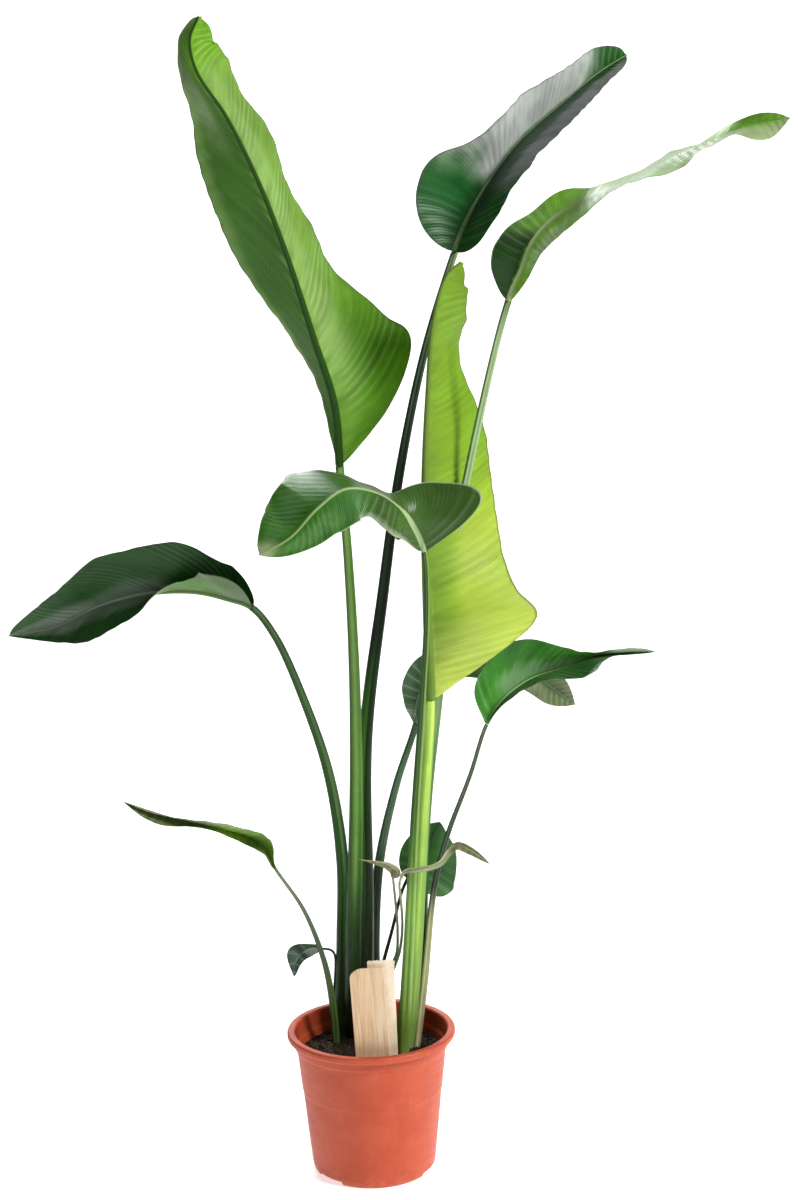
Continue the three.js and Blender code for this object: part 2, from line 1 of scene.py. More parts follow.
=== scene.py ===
"""A potted bird of paradise: thirteen leaves on long stalks, compost, two plain tags and a nursery pot.

Metres, +Z up. The origin is the centre of the pot's foot, on the floor. The plant faces -Y.
"""
import math
from dataclasses import dataclass
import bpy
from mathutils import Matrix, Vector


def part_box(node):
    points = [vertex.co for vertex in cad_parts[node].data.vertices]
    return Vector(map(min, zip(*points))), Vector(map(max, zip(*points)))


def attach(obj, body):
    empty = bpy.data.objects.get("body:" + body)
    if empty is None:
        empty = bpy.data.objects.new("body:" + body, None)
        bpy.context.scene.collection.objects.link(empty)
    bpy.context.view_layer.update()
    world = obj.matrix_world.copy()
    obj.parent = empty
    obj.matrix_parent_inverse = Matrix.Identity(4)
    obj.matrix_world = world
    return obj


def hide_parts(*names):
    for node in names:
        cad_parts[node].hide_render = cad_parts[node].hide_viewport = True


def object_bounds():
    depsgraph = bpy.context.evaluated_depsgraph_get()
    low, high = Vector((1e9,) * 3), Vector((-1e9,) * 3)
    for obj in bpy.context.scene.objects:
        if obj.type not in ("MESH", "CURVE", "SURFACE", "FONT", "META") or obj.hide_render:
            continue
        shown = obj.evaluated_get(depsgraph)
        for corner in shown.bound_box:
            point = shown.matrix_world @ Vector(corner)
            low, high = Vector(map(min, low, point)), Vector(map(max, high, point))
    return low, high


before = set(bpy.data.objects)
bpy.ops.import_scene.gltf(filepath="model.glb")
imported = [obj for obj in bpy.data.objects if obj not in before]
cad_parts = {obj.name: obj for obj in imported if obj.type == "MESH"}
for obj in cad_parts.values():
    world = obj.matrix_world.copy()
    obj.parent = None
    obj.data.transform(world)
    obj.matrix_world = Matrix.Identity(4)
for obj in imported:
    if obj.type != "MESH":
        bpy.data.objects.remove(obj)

from types import SimpleNamespace

import bpy
import numpy as np
from mathutils import Matrix, Vector, noise

CAD_BOX = [list(corner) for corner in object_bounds()]
MM = 0.001

# ---- driving dimensions --------------------------------------------------------------------------

SOIL_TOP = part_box("soil")[1].z
ROOT = 0.024  # how deep the stalks and tags go into the compost
TOWARDS = np.array([0.0, -1.0, 0.0])  # from the plant to where it is seen from

BLADE = SimpleNamespace(
    edge=0.18 * MM,  # half the thickness at the margin
    middle=0.35 * MM,  # half the thickness beside the rib
    tip=0.02,  # least width, as a share of the greatest
    start=0.002,  # where along the blade its first ring lies
    row=1.9 * MM,  # spacing of the mesh along the rib
    columns=26,
    rib_tip=0.25,  # radius of the rib at the tip, as a share of that at the base
    neck=0.05,  # how far along the blade the stalk's round section runs out
    keel=9,  # points round the rib's underside
    pleat=9.5 * MM,  # spacing of the pleats along the rib
    vein=2.9 * MM,  # spacing of the fine veins
)
STALK = SimpleNamespace(
    row=5 * MM,
    sides=36,
    taper=1.4,
    groove=0.35,  # depth of the groove, as a share of the radius
    groove_width=0.45,  # radians
)


@dataclass
class Leaf:
    """One leaf: its stalk, then its blade.

    stem and rib are the points of one smooth curve, from the soil to the blade and from there to the
    tip. radius is the stalk's at the soil and at the blade. half is the width of the blade's left and
    right halves, seen from -Y with the tip up, and trim_left and trim_right its share of that at even
    steps along the rib. left and right are the directions of those halves at such steps, in degrees from
    the plane that faces -Y, positive towards -Y. curl is the further bend of each half from rib to
    margin, sweep the slant of the veins, peak where along the blade it is widest, and ruffle the height,
    count and phase of its waves. upper is 1 where its upper side faces -Y, and -1 where its underside
    does. depth is the height of its pleats, and lean how much further towards the tip they run on the
    left and right. An entry gives lengths in millimetres and trims in per cent. The first four lengths
    are kept in metres and the trims as shares.
    """

    name: str
    stem: list
    rib: list
    radius: tuple
    half: tuple
    left: list
    right: list
    sweep: list
    peak: float
    ruffle: tuple
    curl: tuple = (0, 0)
    upper: int = 1
    depth: float = 0.3
    lean: tuple = (0, 0)
    trim_left: tuple = (100, 100)
    trim_right: tuple = (100, 100)

    def __post_init__(self):
        def metres(lengths):
            return [round(v / 1000, 6) for v in lengths]

        self.stem, self.rib = ([metres(p) for p in line] for line in (self.stem, self.rib))
        self.radius, self.half = metres(self.radius), metres(self.half)
        self.trim_left = [v / 100 for v in self.trim_left]
        self.trim_right = [v / 100 for v in self.trim_right]


LEAVES = [
    Leaf(
        "1", radius=(13, 5), half=(115, 125), peak=0.36, ruffle=(3, 4, 0.1), curl=(0, -10), upper=-1,
        depth=0.4, lean=(0.75, 0.2),
        stem=[
            (-24, 56, 150), (-20, 42, 280), (-12, 36, 464), (-10, 20, 644), (-14, 0, 789),
            (-20, -10, 885),
        ],
        rib=[
            (-24, -30, 960), (-46, -50, 1041), (-71, -75, 1130), (-98, -100, 1210), (-130, -120, 1282),
            (-162, -135, 1335), (-167, -140, 1368), (-157, -140, 1392),
        ],
        left=[-65, -75, -70, -60, -55, -55, -55, -65, -65],
        right=[-25, 0, -28, -60, -65, -65, -65, -50, -30],
        sweep=[0.45, 0.35, 0.3, 0.3, 0.6],
        trim_left=[38, 66, 84, 84, 72, 81, 100, 103, 100, 103, 109, 109, 97, 90, 108, 155, 190],
        trim_right=[60, 81, 116, 94, 88, 84, 78, 72, 66, 72, 88, 88, 78, 105, 98, 112, 160],
    ),
    Leaf(
        "2", radius=(13, 4.5), half=(100, 100), peak=0.26, ruffle=(2, 3, 0.3), depth=0.25,
        lean=(-0.2, 0.2),
        stem=[
            (-10, 52, 150), (-4, 52, 330), (1, 57, 535), (26, 65, 711), (52, 80, 871), (86, 90, 1017),
            (125, 100, 1135),
        ],
        rib=[
            (141, 120, 1172), (171, 150, 1222), (213, 185, 1273), (270, 228, 1321), (321, 255, 1362),
            (354, 262, 1382),
        ],
        left=[20, 40, 70, 65, 65, 55, 30],
        right=[65, 70, 70, 70, 70, 65, 55],
        sweep=[-0.25, 0.05, 0.15, 0.3, 0.9],
        trim_left=[72, 94, 100, 84, 109, 100, 88, 94, 100, 97, 97, 103, 122],
        trim_right=[91, 91, 88, 97, 81, 88, 94, 91, 84, 84, 88, 94, 97],
    ),
    Leaf(
        "3", radius=(11, 4), half=(75, 75), peak=0.5, ruffle=(3, 3, 0.6),
        stem=[
            (51, 34, 150), (64, 26, 296), (68, 22, 389), (76, 16, 480), (91, 4, 595), (112, -15, 770),
            (150, -35, 956), (181, -55, 1076),
        ],
        rib=[
            (195, -70, 1110), (207, -80, 1140), (230, -100, 1166), (268, -130, 1187), (327, -161, 1215),
            (383, -184, 1240), (431, -203, 1256), (474, -219, 1263),
        ],
        left=[30, 38, 15, -50, -84, -88, -85, -40, 20],
        right=[50, 45, 42, 52, 80, 86, 68, 84, 55],
        sweep=[0.25, 0.15, 0.3, 0.4, 0.4],
        trim_left=[78, 103, 72, 35, 35, 35, 94, 109, 100, 53, 35, 44, 69],
        trim_right=[35, 35, 35, 35, 35, 35, 59, 91, 66, 35, 147, 156, 128],
    ),
    Leaf(
        "4", radius=(14, 6), half=(120, 134), peak=0.28, ruffle=(3, 4, 0.4), curl=(0, -10), upper=-1,
        stem=[(42, 18, 150), (57, 4, 291), (70, -12, 449), (82, -32, 603)],
        rib=[
            (80, -45, 703), (79, -60, 848), (85, -70, 965), (94, -80, 1057), (110, -85, 1107),
            (126, -85, 1121),
        ],
        left=[-130, -130, -115, -105, -95, -120],
        right=[-15, -5, -40, -50, -62, -25],
        sweep=[0.1, 0.28, 0.26, 0.2, 0.5],
        trim_right=[38, 91, 116, 88, 81, 88, 97, 106, 109, 106, 106, 109, 122, 116, 100, 122, 162],
    ),
    Leaf(
        "5", radius=(8.5, 3.2), half=(62, 72), peak=0.25, ruffle=(2, 2, 0), lean=(0.3, 0.3),
        stem=[
            (39, -4, 150), (50, -18, 299), (60, -38, 456), (72, -72, 612), (79, -100, 724),
            (77, -112, 794),
        ],
        rib=[
            (65, -125, 826), (49, -142, 850), (24, -162, 869), (-9, -182, 876), (-40, -200, 857),
            (-71, -212, 826), (-104, -218, 809),
        ],
        left=[5, 15, 62, 62, 35, 18, 10, 15, 25],
        right=[12, 5, -70, -88, -82, -55, -42, -40, -45],
        sweep=[0.1, 0.1, 0.3, 0.5, 0.8],
        trim_left=[35, 35, 50, 84, 103, 62, 75, 81, 81, 81, 72, 75, 84],
        trim_right=[35, 147, 81, 35, 35, 75, 125, 119, 122, 128, 138, 131, 128],
    ),
    Leaf(
        "6", radius=(12, 4.5), half=(75, 75), peak=0.3, ruffle=(2, 3, 0.2), depth=0.35, lean=(1.3, 0.9),
        stem=[
            (-38, 57, 150), (-33, 54, 277), (-32, 56, 381), (-47, 65, 493), (-77, 80, 587),
            (-111, 105, 661), (-140, 125, 695),
        ],
        rib=[
            (-172, 145, 704), (-216, 165, 711), (-276, 180, 708), (-341, 190, 692), (-405, 200, 663),
            (-469, 210, 651),
        ],
        left=[112, 114, 116, 116, 113, 72, 63, 60, 58, 56, 54, 52, 50],
        right=[10, 10, 20, 25, 35, 35, 30],
        sweep=[-0.2, 0.15, 0.3, 0.35, 0.65],
        trim_left=[180, 180, 91, 59, 35, 69, 78, 94, 97, 78, 59, 50, 53],
        trim_right=[44, 72, 69, 94, 94, 94, 106, 100, 97, 103, 106, 103, 109],
    ),
    Leaf(
        "7", radius=(6, 2), half=(32, 32), peak=0.3, ruffle=(2, 2, 0.2),
        stem=[(-46, 34, 150), (-48, 24, 201), (-57, 10, 265), (-79, -10, 337), (-110, -35, 397)],
        rib=[(-125, -50, 433), (-170, -80, 462), (-222, -105, 483), (-278, -130, 511)],
        left=[80, 85, 80, 75],
        right=[70, 60, 70, 75],
        sweep=[-0.1, 0.1, 0.3, 0.4, 0.6],
        trim_left=[35, 69, 78, 47, 35, 56, 112, 131, 131],
        trim_right=[35, 53, 122, 180, 162, 128, 109, 116, 125],
    ),
    Leaf(
        "8", radius=(2.5, 1.5), half=(14, 20), peak=0.3, ruffle=(0, 1, 0),
        stem=[(-50, 56, 150), (-46, 54, 215), (-46, 48, 262), (-62, 32, 273)],
        rib=[(-75, 26, 275), (-86, 17, 271), (-93, 10, 262), (-95, 6, 246)],
        left=[35, 20, 30],
        right=[10, 0, 20],
        sweep=[-0.3, 0.1, 0.3, 0.4, 0.6],
        trim_left=[53, 69, 66, 78, 91],
        trim_right=[35, 35, 88, 53, 35],
    ),
    Leaf(
        "9", radius=(6, 2.5), half=(58, 58), peak=0.3, ruffle=(2, 2, 0.5), lean=(0.4, 0.4),
        stem=[
            (56, 14, 150), (68, 16, 234), (79, 14, 331), (86, 16, 369), (101, 26, 419), (131, 42, 491),
            (153, 50, 553),
        ],
        rib=[(174, 60, 581), (209, 75, 604), (251, 90, 615), (297, 100, 627), (372, 120, 627)],
        left=[30, 10, 50, 70, 60],
        right=[90, 88, 82, 85, 85],
        sweep=[-0.1, 0.1, 0.1, 0.2, 0.3],
        trim_left=[35, 94, 94, 100, 97, 91, 94, 72, 47, 81, 109, 109, 106],
        trim_right=[35, 35, 62, 75, 62, 62, 97, 109, 69, 35, 35, 35, 44],
    ),
    Leaf(
        "10", radius=(10.5, 4.2), half=(40, 40), peak=0.3, ruffle=(0, 2, 0),
        stem=[(4, 58, 150), (5, 66, 271), (15, 80, 373), (38, 95, 466), (65, 115, 541)],
        rib=[
            (69, 128, 564), (77, 133, 585), (92, 138, 604), (119, 145, 616), (154, 152, 619),
            (192, 160, 608), (231, 168, 583), (256, 176, 563), (275, 185, 547),
        ],
        left=[20, 30, 50, 50, 45, 40, 40],
        right=[60, 65, 60, 50, 40, 30, 30],
        sweep=[-0.1, 0.1, 0.2, 0.3, 0.5],
        trim_left=[47, 72, 97, 109, 119, 112, 91, 100, 122, 138, 144, 131, 112],
        trim_right=[35, 53, 81, 100, 88, 94, 100, 97, 94, 103, 131, 138, 134],
    ),
    Leaf(
        "11", radius=(3, 2), half=(30, 45), peak=0.4, ruffle=(1, 2, 0), upper=-1,
        stem=[(-8, 32, 150), (7, 29, 214), (16, 28, 251), (29, 30, 296), (42, 36, 343), (50, 40, 360)],
        rib=[(58, 42, 376), (77, 44, 405), (92, 42, 431)],
        left=[-20, -20, -20],
        right=[0, 10, 0],
        sweep=[-0.6, -0.1, 0.2, 0.4, 0.6],
        trim_left=[35, 66, 84, 84, 78, 69, 59],
        trim_right=[69, 141, 122, 100, 81, 59, 50],
    ),
    Leaf(
        "12", radius=(2.5, 1.5), half=(12, 10), peak=0.3, ruffle=(0, 1, 0),
        stem=[
            (6, 20, 150), (10, 22, 207), (20, 18, 245), (33, 6, 270), (36, -6, 308), (34, -14, 349),
            (32, -22, 379),
        ],
        rib=[(32, -30, 392), (24, -38, 401), (10, -47, 408), (-8, -56, 414)],
        left=[50, 60, 60],
        right=[50, 60, 70],
        sweep=[-0.3, 0.1, 0.3, 0.4, 0.6],
        trim_left=[35, 62, 56, 44, 44],
        trim_right=[50, 144, 180, 180, 169],
    ),
    Leaf(
        "13", radius=(2.5, 1.5), half=(6, 7), peak=0.6, ruffle=(0, 1, 0), upper=-1,
        stem=[
            (14, 10, 150), (17, 11, 211), (27, 6, 245), (38, -4, 280), (42, -14, 316), (41, -24, 351),
            (40, -33, 377),
        ],
        rib=[
            (47, -44, 395), (60, -51, 399), (77, -53, 402), (91, -52, 408), (100, -50, 419),
            (110, -48, 427), (127, -50, 420), (150, -52, 403),
        ],
        left=[55, 55, 55, 50, 20, 10],
        right=[60, 60, 60, 55, 20, 10],
        sweep=[0, 0.1, 0.2, 0.3, 0.5],
    ),
]


@dataclass
class Wash:
    """A soft patch of another colour on a blade or a stalk: some are tones of its own, many are painted
    shade, painted highlight and painted reflection. along is where it lies from the base to the tip, 0 to
    1, and across where between the left edge, -1, and the right one, 1. face is 1 for the upper side of a
    blade only, -1 for the underside only, and 0 for both."""

    along: tuple
    across: tuple
    colour: str
    strength: float
    face: int = 0


@dataclass
class Look:
    """How a leaf looks, as colours on a screen. A blade has its upper side, its underside, the rib on
    each, the margin, and the light that comes through it, with its share. washes are its soft patches of
    other colours: tones of its own, and painted shade, painted highlight and painted reflection. stalk is
    the stalk's colours from the soil up, and stripes its soft bands of painted shade and painted
    highlight, across from its left edge to its right one. lines is how strongly the pleats are drawn,
    with painted highlight on their ridges and painted shade in their valleys, pale how much paler their
    ridges are painted as a highlight, and shine the strength of its gloss."""

    upper: str
    under: str
    upper_rib: str
    under_rib: str
    margin: str
    glow: str
    through: float
    stalk: list
    washes: tuple = ()
    stripes: tuple = ()
    gloss: float = 0.36
    contrast: float = 1.0
    lines: float = 1.0
    pale: float = 0.15
    shine: float = 0.5


# Many of the blades' soft patches below are painted light: painted shade where a half turns from the
# light, painted highlight and painted reflection where it faces it, and painted light coming through. On
# every stalk, the darker bands down one side are painted shade and the pale ones painted highlight.
LOOKS = {
    "1": Look(
        # Its underside faces -Y; the dark green of its rib there is painted shade on the raised rib.
        "4f8a2c", "76a040", "a9c07c", "2c5218", "44662c", "9cc83c", 0.35,
        [(0.0, "10200c"), (0.2, "1d3f0f"), (0.42, "3f7416"), (0.65, "5c8634"), (1.0, "5c8a34")],
        # The darker left half is painted shade, the pale grey along its left margin and towards the tip
        # painted highlight, and the paler right half and bright green at its base painted light coming
        # through it.
        washes=(
            Wash((-0.1, 0.86), (-0.85, -0.02), "447a22", 0.92),
            Wash((0.1, 0.8), (-1.2, -0.85), "7d9a68", 0.5),
            Wash((0.68, 0.84), (-1.2, -0.35), "a3b596", 0.5),
            Wash((0.2, 0.86), (0.04, 0.55), "93b765", 0.8),
            Wash((0.3, 0.86), (0.55, 1.2), "82a94c", 0.6),
            Wash((-0.1, 0.25), (0.35, 1.2), "66a01c", 0.9),
            Wash((0.88, 1.1), (-0.6, 1.2), "72a81a", 0.95),
        ),
        gloss=0.42, lines=1.1, pale=0.2, shine=0.25,
        stripes=(
            Wash((0.1, 1.1), (-1.2, -0.6), "2c4a1c", 0.7), Wash((0.3, 1.1), (-0.3, 0.3), "85a860", 0.6),
        ),
    ),
    "2": Look(
        "2c6228", "5f8a50", "86a57a", "6b8f5a", "5e5a60", "4f8f2c", 0.1,
        [
            (0.0, "10200c"), (0.16, "18300e"), (0.3, "2f6016"), (0.42, "3a6c20"), (0.52, "1f2c20"),
            (0.85, "232f27"), (1.0, "5c7448"),
        ],
        # The pale grey over its upper left half and the grey-violet towards its right margin are a waxy
        # bloom with a painted reflection of bright light.
        washes=(
            Wash((0.25, 0.86), (-1.05, -0.02), "b2b8b6", 0.9, 1),
            Wash((0.1, 0.9), (0.02, 0.5), "34443a", 0.85, 1),
            Wash((0.2, 0.95), (0.5, 1.2), "8f8a94", 0.8, 1),
            Wash((0.88, 1.1), (-1.2, 0.5), "1f5018", 0.97, 1),
            Wash((-0.1, 0.22), (-1.2, -0.1), "1b5226", 0.92, 1),
        ),
        stripes=(
            Wash((-0.1, 0.5), (0.1, 1.2), "1c2c18", 0.85),
            Wash((0.55, 1.1), (-0.5, 0.1), "3c4a42", 0.6),
        ),
        gloss=0.38, contrast=1.1, lines=1.2, pale=0.08, shine=0.3,
    ),
    "3": Look(
        "7db04a", "9cc46a", "c2d99a", "a5bf80", "9a9c8c", "b8e05c", 0.35,
        [(0.0, "3a5628"), (0.35, "3f622c"), (0.7, "7a9868"), (0.95, "8aa478"), (1.0, "4c6a38")],
        # The near-black patch at the base of its left half is painted shade, and the pale patches further
        # up painted light coming through it.
        washes=(
            Wash((-0.1, 0.24), (-1.2, -0.05), "123c0c", 0.98),
            Wash((0.12, 0.34), (0.4, 1.2), "c9d8b8", 0.7),
            Wash((0.36, 0.74), (-1.2, 1.2), "b9cda4", 0.7),
            Wash((0.5, 0.64), (0.2, 1.2), "a9c894", 0.6),
            Wash((0.74, 1.1), (0.3, 1.2), "a9a89a", 0.6),
        ),
        shine=0.25,
        stripes=(
            Wash((0.3, 1.1), (-1.2, -0.55), "4f6a40", 0.6), Wash((0.4, 1.1), (0.0, 0.5), "a5bb92", 0.6),
        ),
    ),
    "4": Look(
        "86b53a", "8db434", "c8dc7a", "7f9f42", "6f6a44", "b4d238", 0.42,
        [(0.0, "72904a"), (0.25, "76983e"), (0.55, "86b048"), (0.9, "a3c850"), (1.0, "b4d858")],
        # The bright yellow-green at its base is partly its young colour and partly painted light coming
        # through it.
        washes=(
            Wash((-0.1, 0.38), (0.35, 1.2), "bcd24e", 0.8),
            Wash((-0.1, 0.16), (0.0, 1.2), "ccdc6c", 0.7),
            Wash((0.5, 1.1), (0.0, 1.2), "82ae28", 0.6),
            Wash((0.1, 0.9), (0.0, 0.16), "7c9c3e", 0.5),
            Wash((-0.1, 1.1), (-1.2, -0.02), "5c7c30", 0.7),
        ),
        contrast=0.6, lines=0.6, pale=0.06, shine=0.3,
        stripes=(
            Wash((0.3, 1.1), (-0.15, 0.4), "a8cc60", 0.7),
            Wash((-0.1, 0.6), (-0.7, -0.35), "a3c46c", 0.6),
            Wash((-0.1, 1.1), (0.72, 1.2), "557a30", 0.6),
        ),
    ),
    "5": Look(
        "39701f", "7f9f4a", "a3bb84", "9fb27a", "a8b39a", "7fb83e", 0.15,
        [(0.0, "68883c"), (0.3, "6c9240"), (0.5, "3c6422"), (0.8, "2a4a18"), (1.0, "3c5c2c")],
        # The pale grey along its left margin and the softer light patches either side of its rib are
        # painted highlights.
        washes=(
            Wash((-0.1, 0.42), (-1.2, 1.2), "3f5c2a", 0.85, 1),
            Wash((-0.1, 0.5), (-1.2, -0.86), "b9c2ae", 0.6, 1),
            Wash((0.45, 0.66), (-1.2, -0.2), "2f5f28", 0.6, 1),
            Wash((0.6, 0.9), (-0.85, -0.3), "6a9a5c", 0.5, 1),
            Wash((0.55, 0.95), (0.25, 0.8), "5c8a52", 0.45, 1),
            Wash((0.93, 1.1), (-1.2, 1.2), "b4c496", 0.75, 1),
        ),
        stripes=(
            Wash((0.45, 1.1), (-1.2, -0.3), "22400f", 0.8), Wash((0.1, 1.1), (0.5, 1.0), "86a850", 0.5),
        ),
        gloss=0.34, shine=0.35,
    ),
    "6": Look(
        "25501f", "3a5c1a", "8d9b88", "6a8450", "4c5a48", "5c9428", 0.1,
        [(0.0, "10200c"), (0.22, "1b3f10"), (0.4, "2c6418"), (0.6, "446e34"), (1.0, "66825a")],
        # The grey patches on its upper side are a painted reflection of bright light.
        washes=(
            Wash((0.3, 0.8), (-0.42, 0.3), "707f70", 0.6, 1),
            Wash((0.62, 1.1), (-0.6, 0.5), "828e82", 0.6, 1),
            Wash((0.3, 0.7), (0.45, 1.2), "20401e", 0.6, 1),
            Wash((-0.1, 0.4), (-0.6, 0.0), "1b3c1c", 0.7, 1),
            Wash((0.02, 0.15), (-1.2, -0.3), "3c7a0c", 0.9, -1),
            Wash((0.16, 0.5), (-1.2, -0.1), "5a8230", 0.6, -1),
        ),
        stripes=(
            Wash((-0.1, 1.1), (-1.2, -0.5), "22401c", 0.75),
            Wash((0.4, 1.1), (0.2, 0.8), "84a078", 0.5),
        ),
        gloss=0.3, lines=1.6, pale=0.1, shine=0.3,
    ),
    "7": Look(
        "7d9c4c", "8ba562", "a3b588", "8fa870", "55683c", "a4c85a", 0.4,
        [(0.0, "3f5a28"), (0.3, "4c6636"), (0.55, "4a5a48"), (1.0, "6a7360")],
        washes=(
            Wash((0.5, 1.1), (-1.2, 1.2), "6f7358", 0.75), Wash((0.0, 0.3), (-1.2, 1.2), "5c7a3a", 0.5),
        ),
    ),
    "8": Look(
        "34483a", "4a5f48", "66786a", "4c6b44", "5a6a5c", "4a7a34", 0.06,
        [(0.0, "203018"), (1.0, "303c30")],
    ),
    "9": Look(
        "44862f", "55784a", "a3c48c", "7f9a6a", "4f7344", "6ab038", 0.18,
        [(0.0, "77795e"), (0.25, "9c9c74"), (0.42, "8a9468"), (0.52, "343d34"), (1.0, "505e4c")],
        washes=(
            Wash((-0.1, 0.35), (-1.2, -0.5), "2c6e22", 0.6, 1),
            Wash((0.15, 0.62), (-0.42, -0.02), "8fae88", 0.55, 1),
            Wash((0.1, 0.7), (0.15, 1.2), "355c34", 0.75),
            Wash((0.66, 1.1), (-1.2, 1.2), "6c7f66", 0.7),
        ),
        stripes=(
            Wash((-0.1, 0.46), (-0.2, 0.4), "bdb890", 0.7),
            Wash((-0.1, 0.46), (0.7, 1.2), "5c5e40", 0.6),
        ),
        gloss=0.34, shine=0.35,
    ),
    "10": Look(
        "34502c", "5a7a52", "74907a", "667f62", "64755c", "5c8a4a", 0.1,
        [(0.0, "1f2e1c"), (0.4, "324838"), (1.0, "46604a")],
        washes=(
            Wash((0.7, 1.1), (-1.2, 1.2), "66754a", 0.8), Wash((0.1, 0.5), (-1.2, 0), "2f4a38", 0.5),
        ),
        stripes=(Wash((0.1, 1.1), (0.1, 0.6), "6a8268", 0.5),),
    ),
    "11": Look(
        "36682a", "36682a", "2a5226", "2a5226", "3f6638", "559a38", 0.18,
        [(0.0, "15190f"), (1.0, "1c2818")],
        washes=(Wash((-0.1, 1.1), (0.45, 1.2), "4c7a48", 0.6),),
    ),
    "12": Look(
        "b5ba96", "a9aa8c", "a9b590", "99a07c", "8a8062", "a8b860", 0.1,
        [(0.0, "33422b"), (0.4, "566b4a"), (1.0, "7f9068")],
        washes=(Wash((-0.1, 0.25), (-1.2, 1.2), "6a5838", 0.8),),
    ),
    "13": Look(
        "7c8a50", "6f6f48", "c2cf9a", "a9b884", "6c6244", "98a058", 0.1,
        [(0.0, "33422b"), (0.4, "566b4a"), (1.0, "8a9a70")],
        washes=(
            Wash((-0.1, 0.6), (-1.2, 1.2), "c3cba8", 0.9),
            Wash((0.68, 1.1), (-1.2, 1.2), "5f6038", 0.7),
        ),
    ),
}


# ---- meshes --------------------------------------------------------------------------------------

def unit(v):
    return v / np.maximum(np.linalg.norm(v, axis=-1, keepdims=True), 1e-12)


def new_object(name, mesh, material, node):
    """A piece of the plant that stands for a CAD node, which it hides, with the material given."""
    piece = bpy.data.objects.new(name, mesh)
    bpy.context.scene.collection.objects.link(piece)
    mesh.materials.append(material)
    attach(piece, "root")
    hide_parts(node)
    return piece


def mesh_of(name, points, faces, values=None, uv=None):
    """A smooth mesh. values has a vector for each point by attribute name, and uv one for each corner."""
    mesh = bpy.data.meshes.new(name)
    mesh.from_pydata(np.asarray(points).tolist(), [], faces)
    mesh.shade_smooth()
    for key, vectors in (values or {}).items():
        layer = mesh.attributes.new(key, "FLOAT_VECTOR", "POINT")
        layer.data.foreach_set("vector", np.asarray(vectors, np.float32).ravel())
    if uv is not None:
        layer = mesh.uv_layers.new(name="OFBake")
        layer.uv.foreach_set("vector", np.asarray(uv, np.float32).ravel())
    mesh.validate()
    return mesh


def loft(name, rings, values, across=None, up=None):
    """Joins rings of points into a closed skin whose ends are fans. across is where each point lies round
    a ring and up where each ring lies along the skin, both from 0 to 1, for its flat map."""
    rows, sides, _ = rings.shape
    ends = [rings[0].mean(0), rings[-1].mean(0)]
    points = np.concatenate([rings.reshape(-1, 3), ends])
    if across is None:
        across = np.linspace(0, 1, sides + 1)
    if up is None:
        up = np.linspace(0, 1, rows)
    faces, flat = [], []
    for i in range(rows - 1):
        for j in range(sides):
            k = (j + 1) % sides
            faces.append((i * sides + j, i * sides + k, (i + 1) * sides + k, (i + 1) * sides + j))
            a, b, c, d = across[j], across[j + 1], up[i], up[i + 1]
            flat += [(a, c), (b, c), (b, d), (a, d)]
    last, first_end = (rows - 1) * sides, rows * sides
    for j in range(sides):
        k = (j + 1) % sides
        faces.append((first_end, k, j))
        faces.append((first_end + 1, last + j, last + k))
        flat += [(0.5, 0), (across[j + 1], up[0]), (across[j], up[0])]
        flat += [(0.5, 1), (across[j], up[-1]), (across[j + 1], up[-1])]
    full = {}
    for key, vectors in values.items():
        ends = [vectors[0].mean(0), vectors[-1].mean(0)]
        full[key] = np.concatenate([vectors.reshape(-1, 3), ends])
    return mesh_of(name, points, faces, full, flat)


def smoothstep(low, high, x):
    t = np.clip((x - low) / (high - low), 0, 1)
    return t * t * (3 - 2 * t)


def spread(values, x):
    """A smooth value from a list that is spread evenly over 0 to 1."""
    v = np.asarray(values, float)
    last = len(v) - 1
    place = np.clip(x, 0, 1) * last
    i = np.minimum(place.astype(int), last - 1)
    f = place - i
    a, b, c, d = v[np.maximum(i - 1, 0)], v[i], v[i + 1], v[np.minimum(i + 2, last)]
    start, end = (c - a) / 2, (d - b) / 2
    return b + f * (start + f * (3 * (c - b) - 2 * start - end + f * (start + end - 2 * (c - b))))


# ---- the curve and the surface of a leaf ---------------------------------------------------------

